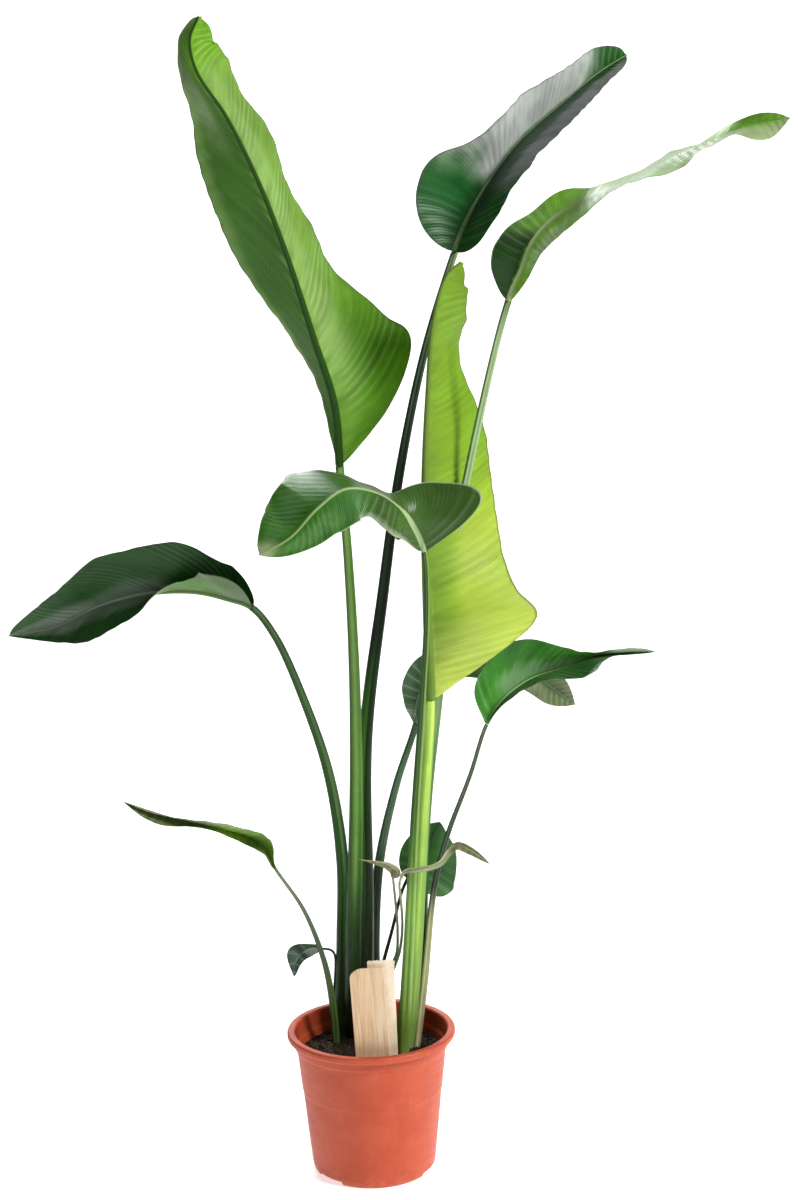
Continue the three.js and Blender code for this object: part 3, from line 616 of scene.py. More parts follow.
class Spine:
    """The smooth curve of a leaf's stalk and rib, by the distance from its root."""

    STEPS = 60

    def __init__(self, leaf):
        foot, above = (np.array(p, float) for p in leaf.stem[:2])
        root = foot - (above - foot) * ROOT / (above[2] - foot[2])
        given = [root, *leaf.stem, *leaf.rib]
        self.points = self.curve([np.array(p, float) for p in given])
        steps = np.linalg.norm(np.diff(self.points, axis=0), axis=1)
        self.lengths = np.concatenate([[0], np.cumsum(steps)])
        self.total = self.lengths[-1]
        self.base = self.lengths[self.STEPS * len(leaf.stem)]
        self.blade = self.total - self.base
        self.tangents = unit(np.gradient(self.points, self.lengths, axis=0))

    def curve(self, p):
        """A centripetal Catmull-Rom curve through the points p."""
        p = [2 * p[0] - p[1], *p, 2 * p[-1] - p[-2]]
        made = []
        t = np.arange(self.STEPS)[:, None] / self.STEPS
        for before, start, end, after in zip(p, p[1:], p[2:], p[3:]):
            pairs = ((before, start), (start, end), (end, after))
            d0, d1, d2 = (np.linalg.norm(b - a) ** 0.5 for a, b in pairs)
            t0 = ((start - before) / d0 - (end - before) / (d0 + d1) + (end - start) / d1) * d1
            t1 = ((end - start) / d1 - (after - start) / (d1 + d2) + (after - end) / d2) * d1
            turn = 3 * (end - start) - 2 * t0 - t1
            made.append(start + t * (t0 + t * (turn + t * (t0 + t1 - 2 * (end - start)))))
        return np.concatenate([*made, [p[-2]]])

    def at(self, distance):
        """The point at a distance from the root, and the two directions across the curve there."""
        distance = np.asarray(distance, float)
        inside = np.clip(distance, 0, self.total)
        point, tangent = (
            np.stack([np.interp(inside, self.lengths, of[:, k]) for k in range(3)], -1)
            for of in (self.points, self.tangents)
        )
        tangent = unit(tangent)
        point = point + tangent * (distance - inside)[..., None]
        front = unit(TOWARDS - (tangent @ TOWARDS)[..., None] * tangent)
        return point, front, np.cross(tangent, front)


def outline(along, peak):
    """Width of half a blade, as a share of its greatest: a round base, then a long taper to the tip."""
    rise = np.sqrt(1 - (1 - np.minimum(along / peak, 1)) ** 2.2)
    fall = np.maximum(0, 1 - np.maximum((along - peak) / (1 - peak), 0) ** 1.9) ** 0.9
    return np.maximum(rise * fall, BLADE.tip)


def half_width(leaf, side, along):
    trim = leaf.trim_right if side > 0 else leaf.trim_left
    return leaf.half[side > 0] * outline(along, leaf.peak) * spread(trim, along)


def pleat_height(leaf, vein):
    """Height of the pleats, -1 to 1, by where along the rib their vein starts, in metres."""
    seed = int(leaf.name)
    uneven = 0.35 * np.sin(vein / (9 * MM) * 0.37 + seed)
    turns = vein / BLADE.pleat + uneven + 0.2 * np.sin(vein / (23 * MM) + 2 * seed)
    return np.sin(2 * np.pi * turns) * (0.7 + 0.3 * np.sin(vein / (17 * MM) + 3 * seed))


def vein_foot(leaf, spine, side, along, reach):
    """Where along the rib the vein starts that a point lies on, in metres. reach is its distance from
    the rib."""
    return along * spine.blade - np.where(side > 0, leaf.lean[1], leaf.lean[0]) * reach


def blade_points(leaf, spine, side, along, across):
    """Points of the middle of a blade, and the normals there. along is the vein, across runs from the
    rib to the margin."""
    half = leaf.half[side > 0]
    width = half_width(leaf, side, along)
    slant = width * spread(leaf.sweep, along) * across**1.3
    u = along + slant / spine.blade
    point, front, right = spine.at(spine.base + u * spine.blade)
    start = np.radians(spread(leaf.right if side > 0 else leaf.left, u))
    curl = math.radians(leaf.curl[side > 0]) or 1e-3
    end = start + curl * width * across / half
    normal = -side * np.sin(end)[..., None] * right + np.cos(end)[..., None] * front
    height, waves, phase = leaf.ruffle
    lift = height * MM * np.sin(2 * np.pi * (waves * u + phase + 0.23 * side))
    lift = lift * across**1.6 * np.minimum(1, 1.6 * width / half)
    room = smoothstep(0, 0.05, width)
    ripple = np.sin(2 * np.pi * (5.3 * waves * u + 2 * phase) + 4 * across + int(leaf.name))
    lift += 0.45 * MM * ripple * across**3 * room
    window = smoothstep(0.02, 0.2, across) * (1 - 0.75 * smoothstep(0.8, 1, across))
    pleats = pleat_height(leaf, vein_foot(leaf, spine, side, along, width * across))
    lift += leaf.depth * MM * pleats * window * smoothstep(0, 0.03, width)
    point = point + (side * half * (np.sin(end) - np.sin(start)) / curl)[..., None] * right
    point = point + (half * (np.cos(start) - np.cos(end)) / curl)[..., None] * front
    return point + lift[..., None] * normal, normal


def blade_rings(leaf, spine):
    """Rings round the blade along its veins: over the front from left to right, and back behind. The rib
    is a round keel on the underside and a shallow channel above, and round where it joins the stalk."""
    rows = max(40, round(spine.blade / BLADE.row))
    even = np.linspace(0, 1, rows + 1)
    closer = even + 0.35 * np.sin(np.pi * even) * (even - 0.5) * even
    along = BLADE.start + (1 - BLADE.start) * closer
    along = np.clip(along, BLADE.start, 1)
    rib = leaf.radius[1] * (1 + (BLADE.rib_tip - 1) * along)
    sheets = {}
    for side in (-1, 1):
        width = half_width(leaf, side, along)
        inner = np.minimum(0.6, rib / width)
        steps = np.linspace(0, 1, BLADE.columns + 1)
        across = inner[:, None] + (1 - inner[:, None]) * steps
        point, normal = blade_points(leaf, spine, side, along[:, None] + 0 * across, across)
        sheets[side] = (point, normal, across, width[:, None] * across)
    centre, front, right = spine.at(spine.base + along * spine.blade)
    up = unit(sheets[-1][1][:, 0] + sheets[1][1][:, 0])
    lateral = right * (up * front).sum(-1)[:, None] - front * (up * right).sum(-1)[:, None]
    mitre = 1 / np.maximum((up * sheets[1][1][:, 0]).sum(-1), 0.35)
    blend = 1 - smoothstep(0, BLADE.neck, along)

    def direction(side):
        out = unit(sheets[side][0][:, 0] - centre)
        return np.arctan2((out * up).sum(-1), (out * lateral).sum(-1))

    def arc(face):
        """The rib's outline on one face, from the left half to the right."""
        left, turn = direction(-1), direction(1)
        left = np.where(left < 0, left + 2 * np.pi, left)
        share = (np.arange(BLADE.keel) + 0.5) / BLADE.keel
        if face < 0:
            turn = turn + 2 * np.pi
        angle = (left[:, None] + (turn - left)[:, None] * share)[..., None]
        round_out = np.cos(angle) * lateral[:, None] + np.sin(angle) * up[:, None]
        round_out = round_out * rib[:, None, None]
        if face != leaf.upper:
            return centre[:, None] + round_out
        folded = 1 - 2 * share
        reach = np.abs(folded)[None, :, None]
        to_left, to_right = (sheets[side][0][:, :1] - centre[:, None] for side in (-1, 1))
        sides = np.where((folded > 0)[None, :, None], to_left, to_right)
        rise = BLADE.middle * face * (mitre[:, None] * (1 - np.abs(folded)) + np.abs(folded))
        flat = sides * reach + rise[..., None] * up[:, None]
        return centre[:, None] + flat * (1 - blend[:, None, None]) + round_out * blend[:, None, None]

    def sheet(side, face):
        point, normal, across, _ = sheets[side]
        half = BLADE.edge + (BLADE.middle - BLADE.edge) * (1 - across**3)
        made = point + face * half[..., None] * normal
        return made[:, ::-1] if side < 0 else made

    def grain(side, backwards):
        _, _, across, reach = sheets[side]
        near = np.exp(-((reach / (1.15 * rib[:, None])) ** 2))
        foot = vein_foot(leaf, spine, side, along[:, None], reach)
        made = np.stack([foot, across, side + 0 * across, near], -1)
        return made[:, ::-1] if backwards else made

    def middle():
        made = np.zeros((len(along), BLADE.keel, 4))
        made[..., 0] = along[:, None] * spine.blade
        made[..., 2] = np.linspace(-1, 1, BLADE.keel)
        made[..., 3] = 1
        return made

    over = np.concatenate([sheet(-1, 1), arc(1), sheet(1, 1)], 1)
    under = np.concatenate([sheet(-1, -1), arc(-1), sheet(1, -1)], 1)
    marks = np.concatenate([grain(-1, True), middle(), grain(1, False)], 1)
    rings = np.concatenate([over, under[:, ::-1]], 1)
    marks = np.concatenate([marks, marks[:, ::-1]], 1)
    upper = np.zeros(marks.shape[:2])
    upper[:, : over.shape[1]] = leaf.upper > 0
    upper[:, over.shape[1] :] = leaf.upper < 0
    pleat = pleat_height(leaf, marks[..., 0]) * smoothstep(0.02, 0.2, marks[..., 1])
    values = {"grain": marks[..., :3], "part": np.stack([upper, marks[..., 3], pleat], -1)}
    return rings, values, along


# ---- materials -----------------------------------------------------------------------------------

def linear(code):
    """A screen colour like "8fb356" as linear light."""
    parts = [int(code[i : i + 2], 16) / 255 for i in (0, 2, 4)]
    return (*(c / 12.92 if c <= 0.04045 else ((c + 0.055) / 1.055) ** 2.4 for c in parts), 1.0)


class Nodes:
    """A short way to write a material's nodes. A value is a socket, a number or a colour."""

    def __init__(self, name):
        self.material = bpy.data.materials.new(name)
        self.material.use_nodes = True
        self.tree = self.material.node_tree
        self.tree.nodes.clear()

    def make(self, kind, inputs=None, **settings):
        node = self.tree.nodes.new(kind)
        for key, value in settings.items():
            setattr(node, key, value)
        for key, value in (inputs or {}).items():
            self.put(node.inputs[key], value)
        return node

    def put(self, socket, value):
        if isinstance(value, bpy.types.NodeSocket):
            self.tree.links.new(value, socket)
        else:
            socket.default_value = value

    def math(self, operation, a, b=0.0):
        return self.make("ShaderNodeMath", {0: a, 1: b}, operation=operation).outputs[0]

    def add(self, a, b):
        return self.math("ADD", a, b)

    def times(self, a, b):
        return self.math("MULTIPLY", a, b)

    def mix(self, factor, a, b, blend="MIX"):
        node = self.make("ShaderNodeMix", data_type="RGBA", blend_type=blend)
        self.put(node.inputs[0], factor)
        self.put(node.inputs[6], a)
        self.put(node.inputs[7], b)
        return node.outputs[2]

    def swing(self, value, amount):
        """A noise that runs from 0 to 1, moved to swing about 0 by an amount."""
        return self.times(self.add(value, -0.5), amount)

    def tinted(self, shown, by):
        return self.mix(1.0, shown, by, "MULTIPLY")

    def vector(self, name):
        return self.make("ShaderNodeAttribute", attribute_name=name).outputs["Vector"]

    def split(self, vector):
        return self.make("ShaderNodeSeparateXYZ", {0: vector}).outputs

    def join(self, x, y, z):
        return self.make("ShaderNodeCombineXYZ", {0: x, 1: y, 2: z}).outputs[0]

    def noise(self, vector, scale, detail=3.0, roughness=0.55):
        inputs = {"Vector": vector, "Scale": scale, "Detail": detail, "Roughness": roughness}
        return self.make("ShaderNodeTexNoise", inputs).outputs[0]

    def place(self):
        return self.make("ShaderNodeTexCoord").outputs["Object"]

    def scaled(self, vector, scale):
        return self.make("ShaderNodeMapping", {"Vector": vector, "Scale": scale}).outputs[0]

    def range(self, value, low, high, to_low=0.0, to_high=1.0):
        inputs = {0: value, 1: low, 2: high, 3: to_low, 4: to_high}
        return self.make("ShaderNodeMapRange", inputs, interpolation_type="SMOOTHSTEP").outputs[0]

    def ramp(self, value, stops):
        """A colour ramp. stops are places from 0 to 1 with their colours."""
        node = self.make("ShaderNodeValToRGB", {0: value})
        ends = node.color_ramp.elements
        while len(ends) < len(stops):
            ends.new(0.5)
        for end, (where, colour) in zip(ends, stops):
            end.position = where
            end.color = colour
        return node.outputs[0]

    def bump(self, height, distance, strength=1.0, normal=None):
        inputs = {"Height": height, "Distance": distance, "Strength": strength}
        if normal is not None:
            inputs["Normal"] = normal
        return self.make("ShaderNodeBump", inputs).outputs[0]

    def surface(self, colour, roughness, normal=None, **constants):
        node = self.make("ShaderNodeBsdfPrincipled", {"Base Color": colour, "Roughness": roughness})
        for key, value in constants.items():
            node.inputs[key.replace("_", " ")].default_value = value
        if normal is not None:
            self.put(node.inputs["Normal"], normal)
        return node

    def finish(self, shader):
        output = self.make("ShaderNodeOutputMaterial")
        self.tree.links.new(shader.outputs[0], output.inputs["Surface"])
        return self.material


def washed(n, washes, along, across, upper, shown):
    """The colour shown, under soft patches of other colours, many of them painted shade, highlight and
    reflection.
    """
    for wash in washes:
        (low, high), (left, right) = wash.along, wash.across
        inside = n.range(along, low - 0.06, low + 0.06)
        inside = n.times(inside, n.range(along, high + 0.06, high - 0.06))
        inside = n.times(inside, n.range(across, left - 0.14, left + 0.14))
        inside = n.times(inside, n.range(across, right + 0.14, right - 0.14))
        if wash.face:
            inside = n.times(inside, upper if wash.face > 0 else n.math("SUBTRACT", 1.0, upper))
        shown = n.mix(n.times(inside, wash.strength), shown, linear(wash.colour))
    return shown


def brighter(n, shown, amount):
    """The colour shown, times an amount."""
    return n.tinted(shown, n.join(amount, amount, amount))


def blade_material(leaf, look, length):
    """Leaf skin: pleats and fine veins from the rib to the margin, the pleats with painted highlight on
    their ridges and painted shade in their valleys, soft patches of other greens, many of them painted
    shade, highlight and reflection, a waxy upper side, a duller and paler underside, a pale rib, a thin
    dry margin, and light coming through."""
    n = Nodes(f"leaf_{leaf.name}")
    distance, across, side = n.split(n.vector("grain"))
    upper, rib, pleat = n.split(n.vector("part"))
    shift = n.add(n.times(side, 0.37), float(int(leaf.name)))
    broad = n.noise(n.join(n.times(distance, 75.0), n.times(across, 1.6), shift), 1.0, 3.0, 0.5)
    fine = n.noise(n.join(n.times(distance, 900.0), n.times(across, 2.2), shift), 1.0, 3.0, 0.6)
    cloudy = n.noise(n.place(), 16.0, 3.0, 0.5)
    waver = n.times(n.noise(n.join(n.times(distance, 60.0), n.times(across, 3.0), shift), 1.0, 1.0), 5.0)
    vein = n.math("SINE", n.add(n.times(distance, 2 * math.pi / BLADE.vein), waver))

    place = n.add(n.times(distance, 1 / length), n.swing(cloudy, 0.16))
    wide = n.add(n.times(side, across), n.swing(broad, 0.35))
    skin = n.mix(upper, linear(look.under), linear(look.upper))
    # The leaf's own tones, with painted shade, painted highlight and painted reflection.
    skin = washed(n, look.washes, place, wide, upper, skin)
    light = washed(n, look.washes, place, wide, upper, linear(look.glow))

    shade = n.add(n.swing(broad, 0.7), n.swing(cloudy, 0.45))
    shade = n.add(shade, n.swing(fine, 0.3))
    shade = n.times(n.add(shade, n.times(vein, 0.05 * look.lines)), look.contrast)
    # Painted highlight on the pleats' ridges and painted shade in their valleys.
    pleat_light_and_shade = n.add(n.range(pleat, 0.25, 0.95), n.times(n.range(pleat, -0.2, -0.9), -1.0))
    shade = n.add(shade, n.times(pleat_light_and_shade, 0.11 * look.lines))
    shown = brighter(n, skin, n.range(shade, -0.6, 0.6, 0.55, 1.5))
    # Painted highlight: the pleats' ridges paler still.
    shown = n.mix(n.times(n.range(pleat, 0.35, 1.0), look.pale), shown, linear("c4cec0"))
    yellow = n.range(n.noise(n.place(), 9.0, 2.0), 0.5, 0.75, 0.0, 0.25)
    shown = n.mix(yellow, shown, n.tinted(shown, (1.25, 1.12, 0.65, 1)))
    ribs = n.mix(upper, linear(look.under_rib), linear(look.upper_rib))
    ribs = n.mix(n.range(fine, 0.35, 0.7, 0.0, 0.35), ribs, n.tinted(ribs, (0.6, 0.66, 0.5, 1)))
    shown = n.mix(n.range(rib, 0.25, 0.75), shown, ribs)
    rim = n.add(across, n.swing(broad, 0.03))
    shown = n.mix(n.range(rim, 0.965, 0.99, 0.0, 0.8), shown, linear(look.margin))
    specks = n.range(n.noise(n.place(), 240.0, 2.0), 0.68, 0.78, 0.0, 0.35)
    shown = n.mix(specks, shown, n.tinted(shown, (0.7, 0.6, 0.4, 1)))

    gloss = n.mix(upper, (look.gloss + 0.12,) * 3 + (1,), (look.gloss,) * 3 + (1,))
    rough = n.add(gloss, n.swing(cloudy, 0.25))
    relief = n.bump(n.add(n.times(vein, 0.25), n.times(broad, 0.5)), 0.0004, 0.5)
    grainy = n.noise(n.place(), 1800.0, 2.0)
    relief = n.bump(grainy, 0.00008, 0.35, relief)
    skin = n.surface(shown, rough, relief, Specular_IOR_Level=look.shine, IOR=1.42)
    light = brighter(n, light, n.range(shade, -0.5, 0.5, 0.7, 1.3))
    light = n.mix(n.range(rib, 0.25, 0.75), light, n.tinted(light, (0.3, 0.4, 0.2, 1)))
    through = n.make("ShaderNodeBsdfTranslucent", {"Color": light, "Normal": relief})
    both = n.make("ShaderNodeMixShader", {0: look.through})
    n.tree.links.new(skin.outputs[0], both.inputs[1])
    n.tree.links.new(through.outputs[0], both.inputs[2])
    return n.finish(both)


def stalk_material(leaf, look):
    """Stalk skin: its colours run from the soil up, in fine lengthwise streaks and broad lengthwise
    bands, with painted shade down one side and painted highlight along its lit side, paler along its
    groove, with dry brown edges where it clasps the next one near the soil."""
    n = Nodes(f"stem_{leaf.name}")
    cosine, sine, distance = n.split(n.vector("round"))
    height, groove, _ = n.split(n.vector("part"))
    seed = float(int(leaf.name))

    def streaks(across, lengthwise):
        run = n.add(n.times(distance, lengthwise), seed)
        return n.join(n.times(cosine, across), n.times(sine, across), run)

    fine = n.noise(streaks(9.0, 4.0), 1.0, 4.0, 0.6)
    broad = n.noise(streaks(2.4, 5.0), 1.0, 2.0)
    blotch = n.noise(n.place(), 45.0, 3.0)
    where = n.add(height, n.swing(broad, 0.12))
    shown = n.ramp(where, [(place, linear(code)) for place, code in look.stalk])
    wide = n.add(cosine, n.swing(fine, 0.5))
    # Painted shade down one side of the stalk and painted highlight along its lit side.
    shown = washed(n, look.stripes, where, wide, 1.0, shown)
    bright = n.add(n.swing(fine, 0.9), n.swing(blotch, 0.4))
    bright = n.range(n.add(bright, n.swing(broad, 0.5)), -0.6, 0.6, 0.6, 1.45)
    shown = brighter(n, shown, bright)
    shown = n.mix(n.range(groove, 0.2, 1.0, 0.0, 0.3), shown, n.tinted(shown, (1.5, 1.5, 1.1, 1)))
    dry = n.range(n.noise(n.place(), 70.0, 4.0, 0.7), 0.55, 0.72)
    dry = n.times(dry, n.range(height, 0.0, 0.14, 0.6, 0.0))
    shown = n.mix(dry, shown, linear("7a6238"))
    relief = n.bump(fine, 0.0005, 0.45)
    relief = n.bump(n.noise(n.place(), 900.0, 2.0), 0.0001, 0.3, relief)
    rough = n.range(blotch, 0.3, 0.7, 0.34, 0.5)
    return n.finish(n.surface(shown, rough, relief, Specular_IOR_Level=0.3, IOR=1.42))


# ---- blades and stalks ---------------------------------------------------------------------------

REACH = 0.1  # how far in from the CAD model's box the blades are eased inwards
EASE = 0.002  # by how much at the box itself


def eased(points):
    """Eases the outermost points inwards, so that no blade leaves the CAD model's box."""
    low, high = np.array(CAD_BOX)
    over = np.clip((points - high + REACH) / REACH, 0, None)
    under = np.clip((low + REACH - points) / REACH, 0, None)
    return points + EASE * (under**2 - over**2)


def build_blade(leaf, spine, look):
    """Both halves of a blade and its rib, as one closed skin."""
    rings, values, along = blade_rings(leaf, spine)
    rings = eased(rings)
    sides = rings.shape[1]
    mesh = loft(f"blade_{leaf.name}", rings, values, np.linspace(0, 1, sides + 1), along)
    material = blade_material(leaf, look, spine.blade)
    new_object(f"blade_{leaf.name}", mesh, material, f"leaf_{leaf.name}")


def build_stalk(leaf, spine, look):
    """A stalk is round, a little flat on its inner side, where a groove runs down from the blade."""
    foot, neck = leaf.radius
    rows = max(20, round(spine.base / STALK.row))
    distance = np.linspace(0, spine.base, rows + 1)
    point, front, right = spine.at(distance)
    radius = neck + (foot - neck) * (1 - distance / spine.base) ** STALK.taper
    angle = 2 * np.pi * np.arange(STALK.sides) / STALK.sides
    facing = np.pi / 2 * (1 if leaf.upper > 0 else -1)
    away = np.abs((angle - facing + np.pi) % (2 * np.pi) - np.pi)
    groove = np.exp(-((away / STALK.groove_width) ** 2))
    deep = STALK.groove * smoothstep(0, 0.2, distance / spine.base)[:, None]
    ridges = 0.012 * np.sin(11 * angle[None, :] + 3 * distance[:, None] / 0.1 + int(leaf.name))
    r = radius[:, None] * (1 - deep * groove[None, :] + ridges)
    cosine, sine = np.cos(angle)[:, None], np.sin(angle)[:, None]
    out = cosine * right[:, None] + sine * front[:, None]
    rings = point[:, None] + out * r[..., None]
    ones = np.ones_like(r)
    values = {
        "round": np.stack([np.cos(angle) * ones, np.sin(angle) * ones, distance[:, None] * ones], -1),
        "part": np.stack([(distance / spine.base)[:, None] * ones, groove * ones, 0 * ones], -1),
    }
    # The rings run from right to front, which is clockwise seen from above the stalk.
    rings = rings[:, ::-1]
    values = {key: v[:, ::-1] for key, v in values.items()}
    mesh = loft(f"petiole_{leaf.name}", rings, values)
    stem = f"stem_{leaf.name}"
    new_object(f"petiole_{leaf.name}", mesh, stalk_material(leaf, look), stem)


for leaf in LEAVES:
    spine = Spine(leaf)
    build_blade(leaf, spine, LOOKS[leaf.name])
    build_stalk(leaf, spine, LOOKS[leaf.name])


# ---- pot -----------------------------------------------------------------------------------------

POT = SimpleNamespace(
    height=180 * MM, rim=105 * MM, collar=96 * MM, wall_top=93.5 * MM, foot=77.5 * MM,
    ring=73 * MM, ring_width=4 * MM, round=10 * MM, wall=2 * MM, rim_height=9 * MM,
    collar_height=13 * MM, raised=5 * MM, floor=2 * MM, drains=8, drain=5 * MM,
    drain_circle=59.5 * MM, notches=3, notch_width=44 * MM, notch_height=4 * MM,
    notch_turn=-19, segments=240,
)


def rounded(points, steps=5):
    """An open outline whose corners are rounded. A point is its place and the radius of its corner."""
    places = [np.array(p[:2], float) for p in points]
    made = [places[0]]
    for k in range(1, len(places) - 1):
        corner = places[k]
        before, after = places[k - 1] - corner, places[k + 1] - corner
        reach = min(points[k][2], 0.45 * np.linalg.norm(before), 0.45 * np.linalg.norm(after))
        start = corner + before / np.linalg.norm(before) * reach
        end = corner + after / np.linalg.norm(after) * reach
        for i in range(steps + 1):
            t = i / steps
            made.append((1 - t) ** 2 * start + 2 * t * (1 - t) * corner + t * t * end)
    made.append(places[-1])
    return made


def pot_profile():
    """The pot's section, from the middle of the floor, up the inside, over the rim and down."""
    p = POT
    rim_foot = p.height - p.rim_height
    step = rim_foot - p.collar_height
    inside = p.ring - p.ring_width
    faint = step - 0.36 * (step - p.round)
    at_faint = p.foot + (p.wall_top - p.foot) * (faint - p.round) / (step - p.round)
    return rounded([
        (0, p.raised + p.floor, 0),
        (p.foot - 2 * p.wall, p.raised + p.floor, 4 * MM),
        (p.foot - p.wall, p.round, 3 * MM),
        (p.wall_top - p.wall, step - 2 * MM, 2 * MM),
        (p.collar - p.wall, step + 2 * MM, 2 * MM),
        (p.collar - 1 * MM, p.height - 2 * MM, 2 * MM),
        (p.collar + 1 * MM, p.height, 1 * MM),
        (p.rim - 1.2 * MM, p.height, 1.6 * MM),
        (p.rim, p.height - 2 * MM, 1.6 * MM),
        (p.rim, rim_foot + 2 * MM, 2 * MM),
        (p.rim - 1.8 * MM, rim_foot, 1.4 * MM),
        (p.collar + 1 * MM, rim_foot + 0.4 * MM, 0.8 * MM),
        (p.collar + 0.2 * MM, step + 2 * MM, 2 * MM),
        (p.wall_top, step, 1.5 * MM),
        (at_faint, faint, 1.2 * MM),
        (at_faint - 0.7 * MM, faint - 1.6 * MM, 1.2 * MM),
        (p.foot, p.round, 6 * MM),
        (p.foot - 1.2 * MM, 0.4 * p.round, 3 * MM),
        (p.ring, 0, 0.8 * MM),
        (inside, 0, 0.6 * MM),
        (inside, p.raised, 0.8 * MM),
        (0, p.raised, 0),
    ])


def subdivided(profile, longest):
    """The outline with its long stretches cut into even steps."""
    made = [profile[0]]
    for a, b in zip(profile, profile[1:]):
        count = max(1, math.ceil(np.linalg.norm(b - a) / longest))
        made += [a + (b - a) * i / count for i in range(1, count + 1)]
    return np.array(made)


def pot_mesh():
    """The turned pot. Its foot ring is raised to the notches; its floor is drilled later."""
    p = POT
    profile = subdivided(pot_profile(), 6 * MM)[1:-1]
    half = math.degrees(math.asin(0.5 * p.notch_width / p.ring))
    centres = [p.notch_turn + 360 * k / p.notches for k in range(p.notches)]
    cuts = [c + s * half + e for c in centres for s in (-1, 1) for e in (-0.12, 0.12)]
    even = [360 * k / p.segments for k in range(p.segments)]
    turns = [t for t in even if min(abs((t - c + 180) % 360 - 180) for c in cuts) > 0.4]
    turns = np.radians(sorted([t % 360 for t in turns + cuts]))
    r, z = profile[:, 0], profile[:, 1]
    low = np.interp(z, [0, p.round], [1, 0]) * (r > p.ring - p.ring_width - 0.5 * MM)
    low = low * (z < p.round) * (np.arange(len(z)) > len(z) // 2)
    lifted = z + low * p.notch_height * (1 - z / p.round)
    lifted = np.minimum(lifted, np.where(low > 0, p.raised - 0.2 * MM + z * 0.4, z))
    rings = []
    for t in turns:
        away = min(abs((math.degrees(t) - c + 180) % 360 - 180) for c in centres)
        rings.append(np.stack([r * np.cos(t), r * np.sin(t), lifted if away < half else z], -1))
    rings = np.array(rings)
    count, sides = rings.shape[:2]
    points = rings.reshape(-1, 3).tolist() + [(0, 0, p.raised + p.floor), (0, 0, p.raised)]
    faces = []
    for i in range(count):
        k = (i + 1) % count
        for j in range(sides - 1):
            faces.append((i * sides + j, i * sides + j + 1, k * sides + j + 1, k * sides + j))
        faces.append((count * sides, i * sides, k * sides))
        faces.append((count * sides + 1, k * sides + sides - 1, i * sides + sides - 1))
    return mesh_of("nursery_pot", points, faces)


def drilled(piece, centres, radius, low, high):
    """Cuts round holes through a piece."""
    sides = 28
    turns = [2 * math.pi * k / sides for k in range(sides)]
    points, faces = [], []
    for x, y in centres:
        first = len(points)
        for z in (low, high):
            points += [(x + radius * math.cos(t), y + radius * math.sin(t), z) for t in turns]
        faces.append(tuple(first + k for k in reversed(range(sides))))
        faces.append(tuple(first + sides + k for k in range(sides)))
        for k in range(sides):
            a, b = first + k, first + (k + 1) % sides
            faces.append((a, b, b + sides, a + sides))
    cutter = bpy.data.objects.new("cutter", mesh_of("cutter", points, faces))
    bpy.context.scene.collection.objects.link(cutter)
    cut = piece.modifiers.new("holes", "BOOLEAN")
    cut.operation = "DIFFERENCE"
    cut.solver = "EXACT"
    cut.object = cutter
    done = bpy.data.meshes.new_from_object(piece.evaluated_get(bpy.context.evaluated_depsgraph_get()))
    piece.modifiers.clear()
    piece.data = done
    bpy.data.objects.remove(cutter)


def pot_material():
    """Moulded terracotta plastic: pale and dark flecks, faint flow rings, scuffs, dust at its foot."""
    n = Nodes("terracotta_plastic")
    place = n.place()
    _, _, z = n.split(place)
    flecks = n.noise(place, 700.0, 3.0, 0.7)
    cloudy = n.noise(place, 22.0, 4.0, 0.6)
    shown = n.mix(n.range(cloudy, 0.3, 0.7), linear("b64829"), linear("c05232"))
    shown = n.mix(n.range(flecks, 0.6, 0.75, 0.0, 0.3), shown, linear("e59a7c"))
    shown = n.mix(n.range(flecks, 0.4, 0.28, 0.0, 0.35), shown, linear("8f3f27"))
    dust = n.times(n.range(n.noise(n.scaled(place, (1, 1, 0.35)), 60.0, 5.0, 0.7), 0.5, 0.75), 0.05)
    shown = n.mix(dust, shown, linear("e8c3ae"))
    low = n.times(n.range(z, 0.03, 0.0), n.range(n.noise(place, 90.0, 4.0), 0.42, 0.62, 0.0, 0.2))
    shown = n.mix(low, shown, linear("b98a6c"))
    rings = n.noise(n.scaled(place, (6, 6, 900)), 1.0, 2.0)
    relief = n.bump(rings, 0.00012, 0.3)
    relief = n.bump(flecks, 0.00018, 0.35, relief)
    scuffs = n.noise(n.scaled(place, (40, 40, 320)), 1.0, 3.0)
    rough = n.add(n.range(scuffs, 0.35, 0.7, 0.42, 0.56), n.times(dust, 0.6))
    return n.finish(n.surface(shown, rough, relief, Specular_IOR_Level=0.35, IOR=1.48))


pot = new_object("nursery_pot", pot_mesh(), pot_material(), "pot")
circle = [2 * math.pi * k / POT.drains for k in range(POT.drains)]
drilled(
    pot, [(POT.drain_circle * math.cos(a), POT.drain_circle * math.sin(a)) for a in circle],
    POT.drain, POT.raised - 2 * MM, POT.raised + POT.floor + 2 * MM,
)


# ---- compost -------------------------------------------------------------------------------------

SOIL = SimpleNamespace(rows=70, sides=220, gap=0.6 * MM, rough=3.2 * MM, crumbs=1500, chips=160)


def pot_inside(z):
    """Radius of the pot's inner wall below its step."""
    step = POT.height - POT.rim_height - POT.collar_height
    share = (z - POT.round) / (step - POT.round)
    return POT.foot + (POT.wall_top - POT.foot) * share - POT.wall


def soil_height(x, y):
    p = Vector((x, y, 0))
    big = noise.noise(p * 28) * 1.5 + noise.noise(p * 75 + Vector((3, 1, 2))) * 0.9
    small = noise.noise(p * 240 + Vector((7, 5, 1))) * 0.6 + noise.noise(p * 600) * 0.35
    return SOIL_TOP - 1.2 * MM + (big + small) * MM


